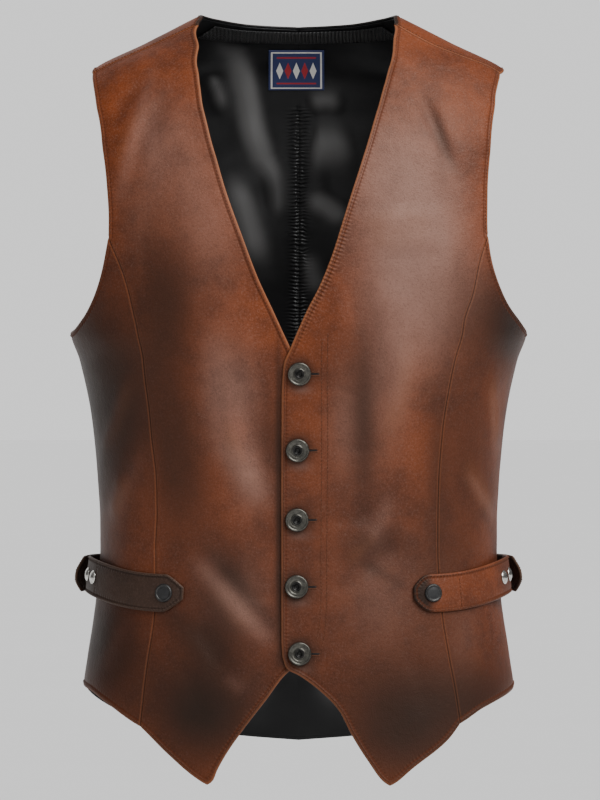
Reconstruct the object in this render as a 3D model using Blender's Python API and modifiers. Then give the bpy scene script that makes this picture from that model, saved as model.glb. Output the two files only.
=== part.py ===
"""A leather vest, buttoned and filled out as if worn. Metres, +Z up, front towards -Y.

The origin lies between the shoulders, level with the middle of the shoulder seams.
Left and right are the wearer's, so left is +X.
A place on the garment is an angle and a height. The angle is 90 at the centre front, 0 at the side and
-90 at the centre back, on either side of the body.
"""

import math
from collections import namedtuple

import bmesh
import bpy
import numpy as np
from mathutils import Vector

MM = 0.001

# Driving dimensions in millimetres
WALL = 2.0
LINING_WALL = 1.0
SEAM_GAP = 0.3
LAYER_GAP = 0.3
LAP_GAP = 0.6
LINING_INSET = 3.0
UNDERARM_HEIGHT = -257.0
SIDE_HEM_HEIGHT = -568.0
SIDE_SEAM_ANGLE = -4.0
LAP_START = 52.0
LAP_FULL = 20.0
LAP_TOP = -200.0
LAP_RISE = 40.0

# Grid of each panel: rows along the seams, columns across
PRINCESS_ROWS = 19
ARMHOLE_ROWS = 17
FRONT_EDGE_ROWS = 14
NECKLINE_ROWS = 22
UPPER_BACK_ROWS = 11
BACK_NECK_ROWS = 6
CUTAWAY_COLUMNS = 6
HEM_COLUMNS = 5
SIDE_COLUMNS = 5

# Steps in degrees and millimetres that a normal is taken over, and samples for each point of a line
ANGLE_STEP = 0.25
HEIGHT_STEP = 0.6
LINE_SAMPLES = 12
HALVINGS = 40

LEFT = 1
RIGHT = -1
SIDE_NAMES = {LEFT: "left", RIGHT: "right"}

# Horizontal sections of the filled garment, from the neck down
Section = namedtuple("Section", "height half_width front_depth back_depth squareness")
SECTIONS = [
    Section(32, 76, 40, 56, -0.03),
    Section(27, 86, 44, 60, -0.03),
    Section(2, 135, 58, 76, -0.02),
    Section(-23, 184, 72, 90, 0.0),
    Section(-40, 198, 81, 96, 0.015),
    Section(-62, 205, 92, 103, 0.03),
    Section(-100, 208, 106, 110, 0.04),
    Section(-160, 208, 118, 116, 0.04),
    Section(-205, 206, 123, 117, 0.04),
    Section(-256, 203, 124, 113, 0.04),
    Section(-281, 194.5, 123, 109, 0.04),
    Section(-328, 184.6, 119, 102, 0.04),
    Section(-360, 180.9, 116.5, 97, 0.04),
    Section(-392, 178.2, 115, 92, 0.04),
    Section(-424, 176.5, 114, 90, 0.04),
    Section(-448, 176.4, 114, 90, 0.04),
    Section(-491, 180.1, 116, 95, 0.04),
    Section(-544, 187.8, 119, 103, 0.04),
    Section(-570, 191.5, 120, 106, 0.04),
    Section(-660, 197, 121, 109, 0.04),
]

# Cut edges of the fronts: how far each point lies from the centre line, and how high, for each side
Pair = namedtuple("Pair", "left_out left_height right_out right_height")
FRONT_EDGE = [
    Pair(-14.3, -539, -14.3, -535),
    Pair(-15.2, -520, -15.2, -520),
    Pair(-15.2, -430, -15.2, -430),
    Pair(-14.8, -316, -15.0, -340),
    Pair(-12.9, -285, -12.9, -313),
    Pair(-8.0, -273, -8.0, -303),
]
NECKLINE = [
    Pair(-8.0, -273, -8.0, -303),
    Pair(7.4, -238, 7.4, -270),
    Pair(18.7, -216, 21.3, -240),
    Pair(29.1, -190, 35.2, -210),
    Pair(40.4, -154, 49.1, -173),
    Pair(52.2, -117, 63.1, -134),
    Pair(62.4, -84, 74.6, -95),
    Pair(72.2, -50, 81.7, -67),
    Pair(79.4, -24, 87.3, -33),
    Pair(84.1, 3, 88.4, -6),
    Pair(85.0, 17, 89.0, 17),
]
SHOULDER_SEAM = [
    Pair(85.0, 17, 89.0, 17),
    Pair(118.7, -2, 130.0, -2),
    Pair(144.3, -12, 152.0, -12),
    Pair(172.8, -23, 171.1, -21),
    Pair(178.5, -27, 182.5, -27),
]
ARMHOLE_UPPER = [
    Pair(166.0, -172, 166.6, -173.5),
    Pair(165.7, -159, 166.6, -158),
    Pair(166.0, -133, 168.6, -125),
    Pair(169.2, -91, 173.3, -86),
    Pair(173.8, -51, 178.2, -58),
    Pair(176.5, -37, 181.8, -37),
    Pair(178.5, -27, 182.5, -27),
]
ARMHOLE_LOWER = [
    Pair(166.0, -172, 166.6, -173.5),
    Pair(169.2, -192, 171.9, -200),
    Pair(174.7, -211, 174.7, -211),
    Pair(183.8, -231, 181.0, -228),
    Pair(192.0, -242, 189.4, -243),
    Pair(200.0, -251.5, 199.0, -254),
]
PRINCESS_SEAM = [
    Pair(141.5, -598.5, 138.3, -601),
    Pair(136.6, -566, 134.8, -569),
    Pair(130.5, -534, 131.8, -545),
    Pair(125.7, -504, 126.1, -508),
    Pair(121.8, -445, 124.9, -445),
    Pair(121.8, -414, 123.6, -414),
    Pair(122.6, -382, 124.4, -382),
    Pair(125.7, -344, 128.7, -344),
    Pair(130.4, -312, 133.0, -305),
    Pair(136.5, -281, 139.0, -263),
    Pair(144.3, -249, 146.1, -231),
    Pair(152.3, -224, 151.4, -211),
    Pair(159.4, -192, 154.9, -201),
    Pair(166.0, -172, 166.6, -173.5),
]
CUTAWAY = [
    Pair(-14.3, -539, -14.3, -535),
    Pair(-10.0, -550, -8.0, -543),
    Pair(-0.4, -555, 8.3, -552),
    Pair(15.2, -566, 29.1, -578),
    Pair(35.2, -586, 49.1, -604),
    Pair(45.6, -606, 63.0, -624),
    Pair(61.3, -631, 70.8, -638),
    Pair(75.2, -649, 75.2, -648),
    Pair(79.6, -651.6, 79.6, -650.7),
]
HEM_INNER = [
    Pair(79.6, -651.6, 79.6, -650.7),
    Pair(83.0, -650, 83.0, -649),
    Pair(100.5, -636, 114.5, -624),
    Pair(132.0, -611, 130.0, -609),
    Pair(141.5, -598.5, 138.3, -601),
]
HEM_OUTER = [
    Pair(141.5, -598.5, 138.3, -601),
    Pair(163.4, -585, 169.8, -581),
    Pair(180.0, -577.5, 184.0, -572),
]

# Cut edges of the backs, alike on both sides, as angles and heights
Place = namedtuple("Place", "angle height")
BACK_HEM = [
    Place(-90, -625),
    Place(-77, -621),
    Place(-50, -606),
    Place(-25, -585),
    Place(SIDE_SEAM_ANGLE, SIDE_HEM_HEIGHT),
]
BACK_NECK = [
    Place(-90, 20.5),
    Place(-60, 22),
    Place(-30, 25.5),
    Place(-5, 27),
    Place(15, 25.5),
]
BACK_ARMHOLE = [
    Place(SIDE_SEAM_ANGLE, UNDERARM_HEIGHT),
    Place(-14, -252),
    Place(-27, -240),
    Place(-35, -220),
    Place(-39, -195),
    Place(-40.5, -160),
    Place(-40, -110),
    Place(-38, -70),
    Place(-34.5, -45),
    Place(-24, -30),
    Place(-12, -24),
    Place(0, -22),
]

# Largest folds: a positive depth stands out and a negative one sinks in, a side of 0 is on both sides.
# A fold keeps a share of its depth at its ends and rises to it all over a share of its length.
FOLD_END_SHARE = 0.15
FOLD_RISE_SHARE = 0.35
Fold = namedtuple("Fold", "side depth reach path")
FOLDS = [
    Fold(RIGHT, -2.6, 9, [(48, -28), (46, -47), (40, -66)]),
    Fold(RIGHT, -2.6, 12, [(59, -26), (55, -71), (49, -141)]),
    Fold(RIGHT, 2.0, 10, [(58, -32), (50, -80), (46, -132)]),
    Fold(RIGHT, -1.2, 12, [(63, -84), (59, -150)]),
    Fold(LEFT, -2.8, 8, [(61, -41), (58, -83), (53, -122)]),
    Fold(LEFT, 3.0, 32, [(69, -142), (67, -194)]),
    Fold(LEFT, -3.2, 14, [(78, -176), (76, -227), (73, -273), (71, -313), (73, -351)]),
    Fold(LEFT, 2.6, 14, [(67, -243), (66, -289), (68, -328), (70, -360)]),
    Fold(RIGHT, 2.6, 12, [(72, -320), (76, -367), (81, -406)]),
    Fold(RIGHT, -2.6, 12, [(73, -266), (77, -305), (79, -344), (81, -382)]),
    Fold(RIGHT, -2.0, 11, [(66, -425), (74, -462)]),
    Fold(RIGHT, 2.6, 12, [(67, -470), (73, -495), (80, -525)]),
    Fold(RIGHT, -2.6, 12, [(63, -506), (69, -525), (73, -555)]),
    Fold(LEFT, -2.6, 11, [(63, -390), (77, -429)]),
    Fold(LEFT, -2.6, 11, [(63, -432), (76, -472)]),
    Fold(LEFT, 2.2, 10, [(68, -428), (79, -463)]),
    Fold(RIGHT, 2.2, 11, [(46, -290), (35, -334), (16, -375)]),
    Fold(RIGHT, 2.2, 11, [(40, -377), (24, -425)]),
    Fold(LEFT, 2.2, 11, [(36, -281), (26, -325), (18, -368)]),
    Fold(LEFT, 2.2, 12, [(45, -360), (31, -395), (15, -423)]),
    Fold(0, -2.4, 13, [(-42, -215), (-58, -262), (-70, -318)]),
    Fold(0, 2.4, 14, [(-50, -190), (-66, -240), (-76, -290)]),
    Fold(0, -2.6, 14, [(-20, -330), (-34, -385), (-46, -430)]),
    Fold(RIGHT, -2.6, 13, [(-84, -360), (-68, -405), (-56, -436)]),
    Fold(LEFT, -2.6, 13, [(-84, -385), (-70, -418), (-58, -440)]),
    Fold(0, 2.4, 13, [(-62, -350), (-52, -400)]),
    Fold(RIGHT, -2.4, 14, [(-52, -508), (-62, -550), (-68, -590)]),
    Fold(LEFT, -2.4, 14, [(-48, -512), (-56, -548), (-60, -580)]),
    Fold(0, -2.0, 16, [(-86, -60), (-72, -100), (-60, -130)]),
]

# Adjusters: heights of the middle of the strip, its half width and how far it stands off the body
TAB_ANGLE = 55.0
TAB_FRONT_HEIGHT = -484.5
TAB_SIDE_HEIGHT = -471.0
TAB_HALF_WIDTH = 16.5
TAB_WALL = 2.2
TAB_SEAT = 0.5
TAB_TIP_ANGLE = 60.4
TAB_REAR_ANGLE = -12.0
TAB_STAND_OFF = 7.5
TAB_LEAVE_ANGLE = 38.0
TAB_COLUMNS = 16
TAB_ROWS = 3
STRAP_TIP_ANGLE = -1.0
STRAP_ROOT_ANGLE = -64.0
STRAP_FLARE = 7.5
STRAP_FLARE_START = -14.0
STRAP_FLARE_SPAN = 13.0
STRAP_DROOP = 3.0
STRAP_DROOP_SPAN = 13.0
STRAP_GAP = 1.0
STRAP_FREE_ANGLE = -20.0

# Ends of the strips: degrees to full width, share of it at the tip, and how round the end is
Tip = namedtuple("Tip", "span end_share roundness")
TAB_TIPS = {LEFT: Tip(6.0, 0.3, 2.2), RIGHT: Tip(6.0, 0.3, 1.3)}
STRAP_TIP = Tip(7.0, 0.15, 1.0)

# Columns lie closer towards a tip: the even share of their spacing and the power of the rest
EVEN_SHARE = 0.4
CROWDING = 1.6

SNAP_ANGLE = 54.2
STUD_ANGLES = (15.0, 7.0)

# Buttons along the front edge: how far right or left of the centre and how high
Button = namedtuple("Button", "out height")
BUTTONS = [
    Button(0.8, -293.4),
    Button(-0.9, -359.9),
    Button(-1.3, -420.4),
    Button(-1.7, -478.6),
    Button(1.0, -536.7),
]
BUTTON_RADIUS = 10.2
TURN_STEPS = 20

# Turned outlines in millimetres, radius and height, from the middle of the top to that of the base
BUTTON_OUTLINE = [
    (0, 1.7), (2.7, 1.7), (3.3, 2.7), (4.8, 2.9), (5.8, 2.0), (7.2, 2.1), (8.6, 3.1), (9.7, 2.7),
    (BUTTON_RADIUS, 1.6), (9.4, 0), (0, 0),
]
SNAP_RADIUS = 8.0
SNAP_OUTLINE = [(0, 1.7), (4.6, 1.6), (5.6, 2.1), (7.1, 1.8), (SNAP_RADIUS, 0.8), (7.4, 0), (0, 0)]
STUD_RADIUS = 6.3
STUD_OUTLINE = [(0, 2.8), (2.9, 2.5), (5.1, 1.5), (STUD_RADIUS, 0.3), (5.8, 0), (0, 0)]

# Label and neck facing inside the back
LABEL_WIDTH = 51.0
LABEL_TOP = 2.0
LABEL_BOTTOM = -34.0
LABEL_MIDDLE = -2.0
LABEL_WALL = 0.8
LABEL_GAP = 0.9
LABEL_COLUMNS = 6
LABEL_ROWS = 4
FACING_HEIGHT = 10.0
FACING_END_ANGLE = -34.0
FACING_COLUMNS = 20
FACING_WALL = 0.9

# Colour, roughness and metallic of each material
Finish = namedtuple("Finish", "colour roughness metallic")
FINISHES = {
    "leather": Finish((0.150, 0.046, 0.020), 0.42, 0.0),
    "dark_leather": Finish((0.040, 0.018, 0.011), 0.42, 0.0),
    "satin": Finish((0.008, 0.008, 0.009), 0.35, 0.0),
    "gunmetal": Finish((0.060, 0.055, 0.050), 0.38, 0.9),
    "nickel": Finish((0.550, 0.530, 0.500), 0.22, 1.0),
}
TAB_FINISHES = {LEFT: "leather", RIGHT: "dark_leather"}


def clear_scene():
    """Remove the objects that the file opened with."""
    for item in list(bpy.data.objects):
        bpy.data.objects.remove(item, do_unlink=True)


def curve_through(knots, values):
    """Return a smooth function through rising knots, which never swings past its values."""
    knots = np.asarray(knots, float)
    values = np.asarray(values, float)
    step = np.diff(knots)
    slope = np.diff(values) / step
    tangent = np.zeros(len(knots))
    tangent[0] = slope[0]
    tangent[-1] = slope[-1]
    for i in range(1, len(knots) - 1):
        if slope[i - 1] * slope[i] > 0:
            before = 2 * step[i] + step[i - 1]
            after = step[i] + 2 * step[i - 1]
            tangent[i] = (before + after) / (before / slope[i - 1] + after / slope[i])

    def value(at):
        at = np.clip(np.asarray(at, float), knots[0], knots[-1])
        i = np.clip(np.searchsorted(knots, at) - 1, 0, len(step) - 1)
        t = (at - knots[i]) / step[i]
        start = (2 * t**3 - 3 * t**2 + 1) * values[i] + (t**3 - 2 * t**2 + t) * step[i] * tangent[i]
        end = (3 * t**2 - 2 * t**3) * values[i + 1] + (t**3 - t**2) * step[i] * tangent[i + 1]
        return start + end

    return value


RISING = SECTIONS[::-1]
HEIGHTS = [section.height for section in RISING]
half_width = curve_through(HEIGHTS, [section.half_width for section in RISING])
front_depth = curve_through(HEIGHTS, [section.front_depth for section in RISING])
back_depth = curve_through(HEIGHTS, [section.back_depth for section in RISING])
squareness = curve_through(HEIGHTS, [section.squareness for section in RISING])


def ease(value):
    """Rise smoothly from 0 to 1 as the value does."""
    t = np.clip(value, 0.0, 1.0)
    return t * t * (3 - 2 * t)


def share_out(angle, height):
    """Return the share of the half width at an angle round the section."""
    turn = np.radians(angle)
    square = squareness(height)
    return (np.cos(turn) - square * np.cos(3 * turn)) / (1 - square)


def plain_form(angle, height, side):
    """Return points in millimetres on the garment's form without its folds."""
    turn = np.radians(angle)
    square = squareness(height)
    share = (np.sin(turn) + square * np.sin(3 * turn)) / (1 - square)
    depth = np.where(share > 0, front_depth(height), back_depth(height))
    height = height + 0 * turn
    return np.stack([side * half_width(height) * share_out(angle, height), -depth * share, height], axis=-1)


def angle_of(out, height):
    """Return the front angle of a point that lies this far out at this height."""
    share = min(abs(out) / float(half_width(height)), 1.0)
    low = 0.0
    high = 90.0
    for _ in range(HALVINGS):
        middle = (low + high) / 2
        if share_out(middle, height) > share:
            low = middle
        else:
            high = middle
    return low if out >= 0 else 180.0 - low


def fold_axes():
    """Return each fold's axis as points on the plain form, with its depth and reach."""
    axes = []
    for fold in FOLDS:
        path = np.array(fold.path, float)
        along = np.linspace(0, 1, len(path))
        fine = np.linspace(0, 1, LINE_SAMPLES + 1)
        angle = curve_through(along, path[:, 0])(fine)
        height = curve_through(along, path[:, 1])(fine)
        for side in (LEFT, RIGHT):
            if fold.side in (0, side):
                axes.append((plain_form(angle, height, side), fold.depth, fold.reach))
    return axes


FOLD_AXES = fold_axes()


def relief(points):
    """Return how far the folds move each point of the form, in millimetres."""
    moved = np.zeros(points.shape[:-1])
    for axis, depth, reach in FOLD_AXES:
        nearest = np.full(points.shape[:-1], np.inf)
        along = np.zeros(points.shape[:-1])
        spans = len(axis) - 1
        for i in range(spans):
            run = axis[i + 1] - axis[i]
            t = np.clip(((points - axis[i]) @ run) / (run @ run), 0, 1)
            away = np.linalg.norm(points - axis[i] - t[..., None] * run, axis=-1)
            closer = away < nearest
            nearest = np.where(closer, away, nearest)
            along = np.where(closer, (i + t) / spans, along)
        middle = ease(along / FOLD_RISE_SHARE) * ease((1 - along) / FOLD_RISE_SHARE)
        taper = FOLD_END_SHARE + (1 - FOLD_END_SHARE) * middle
        moved += depth * taper * np.exp(-((nearest / reach) ** 2))
    return moved


def normals_by(surface, angle, height, side):
    """Return the outward normals of a surface by small steps in angle and height."""
    across = surface(angle + ANGLE_STEP, height, side) - surface(angle - ANGLE_STEP, height, side)
    along = surface(angle, height + HEIGHT_STEP, side) - surface(angle, height - HEIGHT_STEP, side)
    normal = np.cross(along, across) * side
    return normal / np.linalg.norm(normal, axis=-1, keepdims=True)


def cloth_form(angle, height, side):
    """Return points in millimetres on the garment's outer face, folds and all."""
    points = plain_form(angle, height, side)
    normal = normals_by(plain_form, angle, height, side)
    return points + normal * relief(points)[..., None]


def layer(places, side, out):
    """Return points that lie a distance out from the outer face, or in where it is negative."""
    angle = places[..., 0]
    height = places[..., 1]
    points = cloth_form(angle, height, side)
    normal = normals_by(cloth_form, angle, height, side)
    return points + normal * np.asarray(out)[..., None]


def edge_places(table, side):
    """Turn a table of both sides' points into one side's angles and heights."""
    places = []
    for row in table:
        if side == LEFT:
            out, height = row.left_out, row.left_height
        else:
            out, height = row.right_out, row.right_height
        places.append((angle_of(out, height), height))
    return np.array(places)


def spread(places, side, count):
    """Space count steps evenly along a smooth line through the places."""
    places = np.asarray(places, float)
    corners = plain_form(places[:, 0], places[:, 1], side)
    run = np.concatenate([[0], np.cumsum(np.linalg.norm(np.diff(corners, axis=0), axis=1))])
    fine = np.linspace(0, run[-1], LINE_SAMPLES * len(places))
    angle = curve_through(run, places[:, 0])(fine)
    height = curve_through(run, places[:, 1])(fine)
    line = plain_form(angle, height, side)
    length = np.concatenate([[0], np.cumsum(np.linalg.norm(np.diff(line, axis=0), axis=1))])
    even = np.linspace(0, length[-1], count + 1)
    return np.stack([np.interp(even, length, angle), np.interp(even, length, height)], axis=-1)


def chain(*lines):
    """Join lines end to end, dropping each repeated point."""
    return np.concatenate([lines[0]] + [line[1:] for line in lines[1:]])


def fill(bottom, top, inner, outer):
    """Spread a grid of places between four edges that meet at their ends."""
    u = np.linspace(0, 1, len(bottom))[None, :, None]
    v = np.linspace(0, 1, len(inner))[:, None, None]
    rows = (1 - v) * bottom[None] + v * top[None]
    columns = (1 - u) * inner[:, None] + u * outer[:, None]
    corners = (1 - v) * ((1 - u) * bottom[0] + u * bottom[-1]) + v * ((1 - u) * top[0] + u * top[-1])
    return rows + columns - corners


def front_places(side):
    """Return the grid of a centre front: up its front edge, and across to the princess seam."""
    bottom = chain(
        spread(edge_places(CUTAWAY, side), side, CUTAWAY_COLUMNS),
        spread(edge_places(HEM_INNER, side), side, HEM_COLUMNS),
    )
    inner = chain(
        spread(edge_places(FRONT_EDGE, side), side, FRONT_EDGE_ROWS),
        spread(edge_places(NECKLINE, side), side, NECKLINE_ROWS),
    )
    outer = chain(
        spread(edge_places(PRINCESS_SEAM, side), side, PRINCESS_ROWS),
        spread(edge_places(ARMHOLE_UPPER, side), side, ARMHOLE_ROWS),
    )
    top = spread(edge_places(SHOULDER_SEAM, side), side, CUTAWAY_COLUMNS + HEM_COLUMNS)
    return fill(bottom, top, inner, outer)


def side_places(side):
    """Return the grid of a side front, between the princess seam and the side seam."""
    hem_end = [(SIDE_SEAM_ANGLE, SIDE_HEM_HEIGHT)]
    armhole_end = [(SIDE_SEAM_ANGLE, UNDERARM_HEIGHT)]
    bottom = spread(np.concatenate([edge_places(HEM_OUTER, side), hem_end]), side, SIDE_COLUMNS)
    top = spread(np.concatenate([edge_places(ARMHOLE_LOWER, side), armhole_end]), side, SIDE_COLUMNS)
    inner = spread(edge_places(PRINCESS_SEAM, side), side, PRINCESS_ROWS)
    outer = spread(hem_end + armhole_end, side, PRINCESS_ROWS)
    return fill(bottom, top, inner, outer)


def back_places(side):
    """Return the grid of a back, from the centre back over the shoulder to its seam."""
    seam = edge_places(SHOULDER_SEAM, side)
    bottom = spread(BACK_HEM, side, CUTAWAY_COLUMNS + HEM_COLUMNS)
    centre = [(-90, height) for height in (BACK_HEM[0].height, UNDERARM_HEIGHT, BACK_NECK[0].height)]
    inner = chain(
        spread(centre[:2], side, PRINCESS_ROWS),
        spread(centre[1:], side, UPPER_BACK_ROWS),
        spread(np.concatenate([BACK_NECK, seam[:1]]), side, BACK_NECK_ROWS),
    )
    side_seam = [(SIDE_SEAM_ANGLE, SIDE_HEM_HEIGHT), (SIDE_SEAM_ANGLE, UNDERARM_HEIGHT)]
    outer = chain(
        spread(side_seam, side, PRINCESS_ROWS),
        spread(np.concatenate([BACK_ARMHOLE, seam[-1:]]), side, ARMHOLE_ROWS),
    )
    top = spread(seam, side, CUTAWAY_COLUMNS + HEM_COLUMNS)
    return fill(bottom, top, inner, outer)


def draw_in(points, inner, outer, bottom, top):
    """Move a grid's four edges towards the next points, each by its own distance."""
    points = points.copy()
    edges = (
        ((slice(None), 0), (slice(None), 1), inner),
        ((slice(None), -1), (slice(None), -2), outer),
        ((0, slice(None)), (1, slice(None)), bottom),
        ((-1, slice(None)), (-2, slice(None)), top),
    )
    for edge, neighbour, distance in edges:
        run = points[neighbour] - points[edge]
        length = np.linalg.norm(run, axis=-1, keepdims=True)
        points[edge] += run / length * np.reshape(distance, (-1, 1))
    return points


def material_of(finish):
    """Return a new Principled material for one object."""
    look = FINISHES[finish]
    material = bpy.data.materials.new(finish)
    material.use_nodes = True
    shader = material.node_tree.nodes["Principled BSDF"]
    shader.inputs["Base Color"].default_value = (*look.colour, 1.0)
    shader.inputs["Roughness"].default_value = look.roughness
    shader.inputs["Metallic"].default_value = look.metallic
    return material


def add_object(name, mesh, finish):
    """Put a mesh in the vest's collection under its node's name."""
    item = bpy.data.objects.new(name, mesh)
    mesh.materials.append(material_of(finish))
    bpy.data.collections["leather_vest"].objects.link(item)
    return item


def add_wall(name, outer, inner, finish):
    """Loft a closed wall between two grids of points in millimetres, closed round the rim."""
    rows, columns = outer.shape[:2]
    shape = bmesh.new()
    skins = []
    for grid in (outer, inner):
        skins.append([[shape.verts.new(grid[r, c] * MM) for c in range(columns)] for r in range(rows)])
    for r in range(rows - 1):
        for c in range(columns - 1):
            for skin in skins:
                shape.faces.new((skin[r][c], skin[r][c + 1], skin[r + 1][c + 1]))
                shape.faces.new((skin[r][c], skin[r + 1][c + 1], skin[r + 1][c]))
    rim = [(0, c) for c in range(columns)]
    rim += [(r, columns - 1) for r in range(1, rows)]
    rim += [(rows - 1, c) for c in range(columns - 2, -1, -1)]
    rim += [(r, 0) for r in range(rows - 2, 0, -1)]
    for here, there in zip(rim, rim[1:] + rim[:1]):
        corners = [skins[k][r][c] for k, (r, c) in ((0, here), (1, here), (1, there), (0, there))]
        shape.faces.new((corners[0], corners[1], corners[2]))
        shape.faces.new((corners[0], corners[2], corners[3]))
    bmesh.ops.recalc_face_normals(shape, faces=shape.faces)
    mesh = bpy.data.meshes.new(name)
    shape.to_mesh(mesh)
    shape.free()
    mesh.shade_smooth()
    mesh.set_sharp_from_angle(angle=math.radians(50))
    return add_object(name, mesh, finish)


def add_turned(name, outline, seat, normal, finish):
    """Turn an outline round an axis that stands on a seat."""
    mesh = bpy.data.meshes.new(name)
    points = [(radius * MM, 0.0, height * MM) for radius, height in outline]
    mesh.from_pydata(points, [(i, i + 1) for i in range(len(points) - 1)], [])
    item = add_object(name, mesh, finish)
    item.location = Vector(seat) * MM
    item.rotation_euler = Vector(normal).to_track_quat("Z", "Y").to_euler()
    screw = item.modifiers.new("turn", "SCREW")
    screw.steps = TURN_STEPS
    screw.render_steps = TURN_STEPS
    screw.use_merge_vertices = True
    screw.merge_threshold = 0.00005
    screw.use_smooth_shade = True
    return item


def seat_on(surface, angle, height, side, radius):
    """Return the lowest seat and its normal for a round piece on a surface."""
    point = surface(np.array(angle, float), np.array(height, float), side)
    normal = normals_by(surface, np.array(angle, float), np.array(height, float), side)
    turn = math.degrees(radius / float(front_depth(height)))
    rise = 0.0
    for round_about in np.linspace(0, 2 * math.pi, 12, endpoint=False):
        near_angle = np.array(angle + turn * math.cos(round_about))
        near_height = np.array(height + radius * math.sin(round_about))
        near = surface(near_angle, near_height, side)
        rise = max(rise, float((near - point) @ normal))
    return point + normal * (rise + LAYER_GAP), normal


def add_fronts():
    """Make both centre fronts; the right one sinks in where the left one lies over it."""
    for side in (LEFT, RIGHT):
        places = front_places(side)
        sink = np.zeros(places.shape[:2])
        if side == RIGHT:
            flat = plain_form(places[..., 0], places[..., 1], side)
            near = ease((flat[..., 0] + LAP_START) / (LAP_START - LAP_FULL))
            low = ease((LAP_TOP - flat[..., 2]) / LAP_RISE)
            sink = (WALL + LAP_GAP) * near * low
        outer = draw_in(layer(places, side, -sink), 0, SEAM_GAP / 2, 0, SEAM_GAP / 2)
        inner = draw_in(layer(places, side, -sink - WALL), 0, SEAM_GAP / 2, 0, SEAM_GAP / 2)
        add_wall(f"front_{SIDE_NAMES[side]}", outer, inner, "leather")


def add_sides():
    """Make both side fronts."""
    for side in (LEFT, RIGHT):
        places = side_places(side)
        flush = np.zeros(places.shape[:2])
        outer = draw_in(layer(places, side, flush), SEAM_GAP / 2, SEAM_GAP / 2, 0, 0)
        inner = draw_in(layer(places, side, flush - WALL), SEAM_GAP / 2, SEAM_GAP / 2, 0, 0)
        add_wall(f"side_{SIDE_NAMES[side]}", outer, inner, "leather")


def add_backs():
    """Make both backs and, on the same points moved in, their linings."""
    for side in (LEFT, RIGHT):
        places = back_places(side)
        flush = np.zeros(places.shape[:2])
        seams = np.full(places.shape[0], SEAM_GAP / 2)
        outer = draw_in(layer(places, side, flush), seams, SEAM_GAP / 2, 0, SEAM_GAP / 2)
        inner = draw_in(layer(places, side, flush - WALL), seams, SEAM_GAP / 2, 0, SEAM_GAP / 2)
        add_wall(f"back_{SIDE_NAMES[side]}", outer, inner, "leather")
        edges = np.full(places.shape[0], LINING_INSET)
        edges[:PRINCESS_ROWS + UPPER_BACK_ROWS + 1] = SEAM_GAP / 2
        depth = WALL + LAYER_GAP
        inset = LINING_INSET
        outer = draw_in(layer(places, side, flush - depth), edges, inset, inset, inset)
        inner = draw_in(layer(places, side, flush - depth - LINING_WALL), edges, inset, inset, inset)
        add_wall(f"lining_{SIDE_NAMES[side]}", outer, inner, "satin")


def add_inside_trim():
    """Make the facing round the back neck and the label below it, on the lining."""
    depth = WALL + LAYER_GAP + LINING_WALL + LABEL_GAP
    angles = np.linspace(FACING_END_ANGLE, -180 - FACING_END_ANGLE, FACING_COLUMNS + 1)
    neck = curve_through([place.angle for place in BACK_NECK], [place.height for place in BACK_NECK])
    heights = neck(np.where(angles < -90, -180 - angles, angles)) - LINING_INSET
    places = np.stack([
        np.stack([angles, heights - FACING_HEIGHT * share], axis=-1) for share in (1.0, 0.5, 0.0)
    ])
    flush = np.zeros(places.shape[:2])
    outer = layer(places, LEFT, flush - depth)
    inner = layer(places, LEFT, flush - depth - FACING_WALL)
    add_wall("neck_facing", outer, inner, "satin")

    across = np.linspace(-LABEL_WIDTH / 2, LABEL_WIDTH / 2, LABEL_COLUMNS + 1) + LABEL_MIDDLE
    down = np.linspace(LABEL_BOTTOM, LABEL_TOP, LABEL_ROWS + 1)
    places = np.array([[(-angle_of(out, height), height) for out in across] for height in down])
    flush = np.zeros(places.shape[:2])
    outer = layer(places, LEFT, flush - depth)
    inner = layer(places, LEFT, flush - depth - LABEL_WALL)
    add_wall("label", outer, inner, "satin")


def strip_middle(angle):
    """Return the height of an adjuster's middle line at an angle."""
    share = ease((TAB_ANGLE - angle) / TAB_ANGLE)
    return TAB_FRONT_HEIGHT + (TAB_SIDE_HEIGHT - TAB_FRONT_HEIGHT) * share


def strap_middle(angle):
    """Return the height of a strap's middle line at an angle; its free end droops."""
    share = ease((angle - STRAP_TIP_ANGLE) / STRAP_DROOP_SPAN + 1)
    return strip_middle(angle) - STRAP_DROOP * share


def tab_lift(angle):
    """Return how far a tab's inner face stands off the body at an angle."""
    return TAB_SEAT + TAB_STAND_OFF * ease((TAB_LEAVE_ANGLE - angle) / TAB_LEAVE_ANGLE)


def strap_lift(angle):
    """Return how far a strap's inner face stands off the body at an angle."""
    over_tab = tab_lift(angle) + TAB_WALL + STRAP_GAP
    flare = STRAP_FLARE * ease((angle - STRAP_FLARE_START) / STRAP_FLARE_SPAN)
    rise = ease((angle - STRAP_ROOT_ANGLE) / (STRAP_FREE_ANGLE - STRAP_ROOT_ANGLE))
    return TAB_SEAT + (over_tab - TAB_SEAT) * rise + flare


def tab_surface(angle, height, side):
    """Return points on a tab's outer face."""
    places = np.stack([angle + 0 * height, height + 0 * angle], axis=-1)
    return layer(places, side, tab_lift(angle) + TAB_WALL + 0 * height)


def strip_places(tip_angle, far_angle, tip, middle):
    """Return a grid along an adjuster strip, from its tip, which narrows, to its far end."""
    steps = np.linspace(0, 1, TAB_COLUMNS + 1)
    angles = tip_angle + (far_angle - tip_angle) * (EVEN_SHARE * steps + (1 - EVEN_SHARE) * steps**CROWDING)
    near = np.clip((tip_angle - angles) / tip.span, 0, 1)
    half_widths = TAB_HALF_WIDTH * (tip.end_share + (1 - tip.end_share) * (1 - (1 - near) ** tip.roundness))
    across = np.linspace(-1, 1, TAB_ROWS + 1)
    heights = middle(angles)[None, :] + across[:, None] * half_widths[None, :]
    return np.stack([np.broadcast_to(angles, heights.shape), heights], axis=-1)


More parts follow.
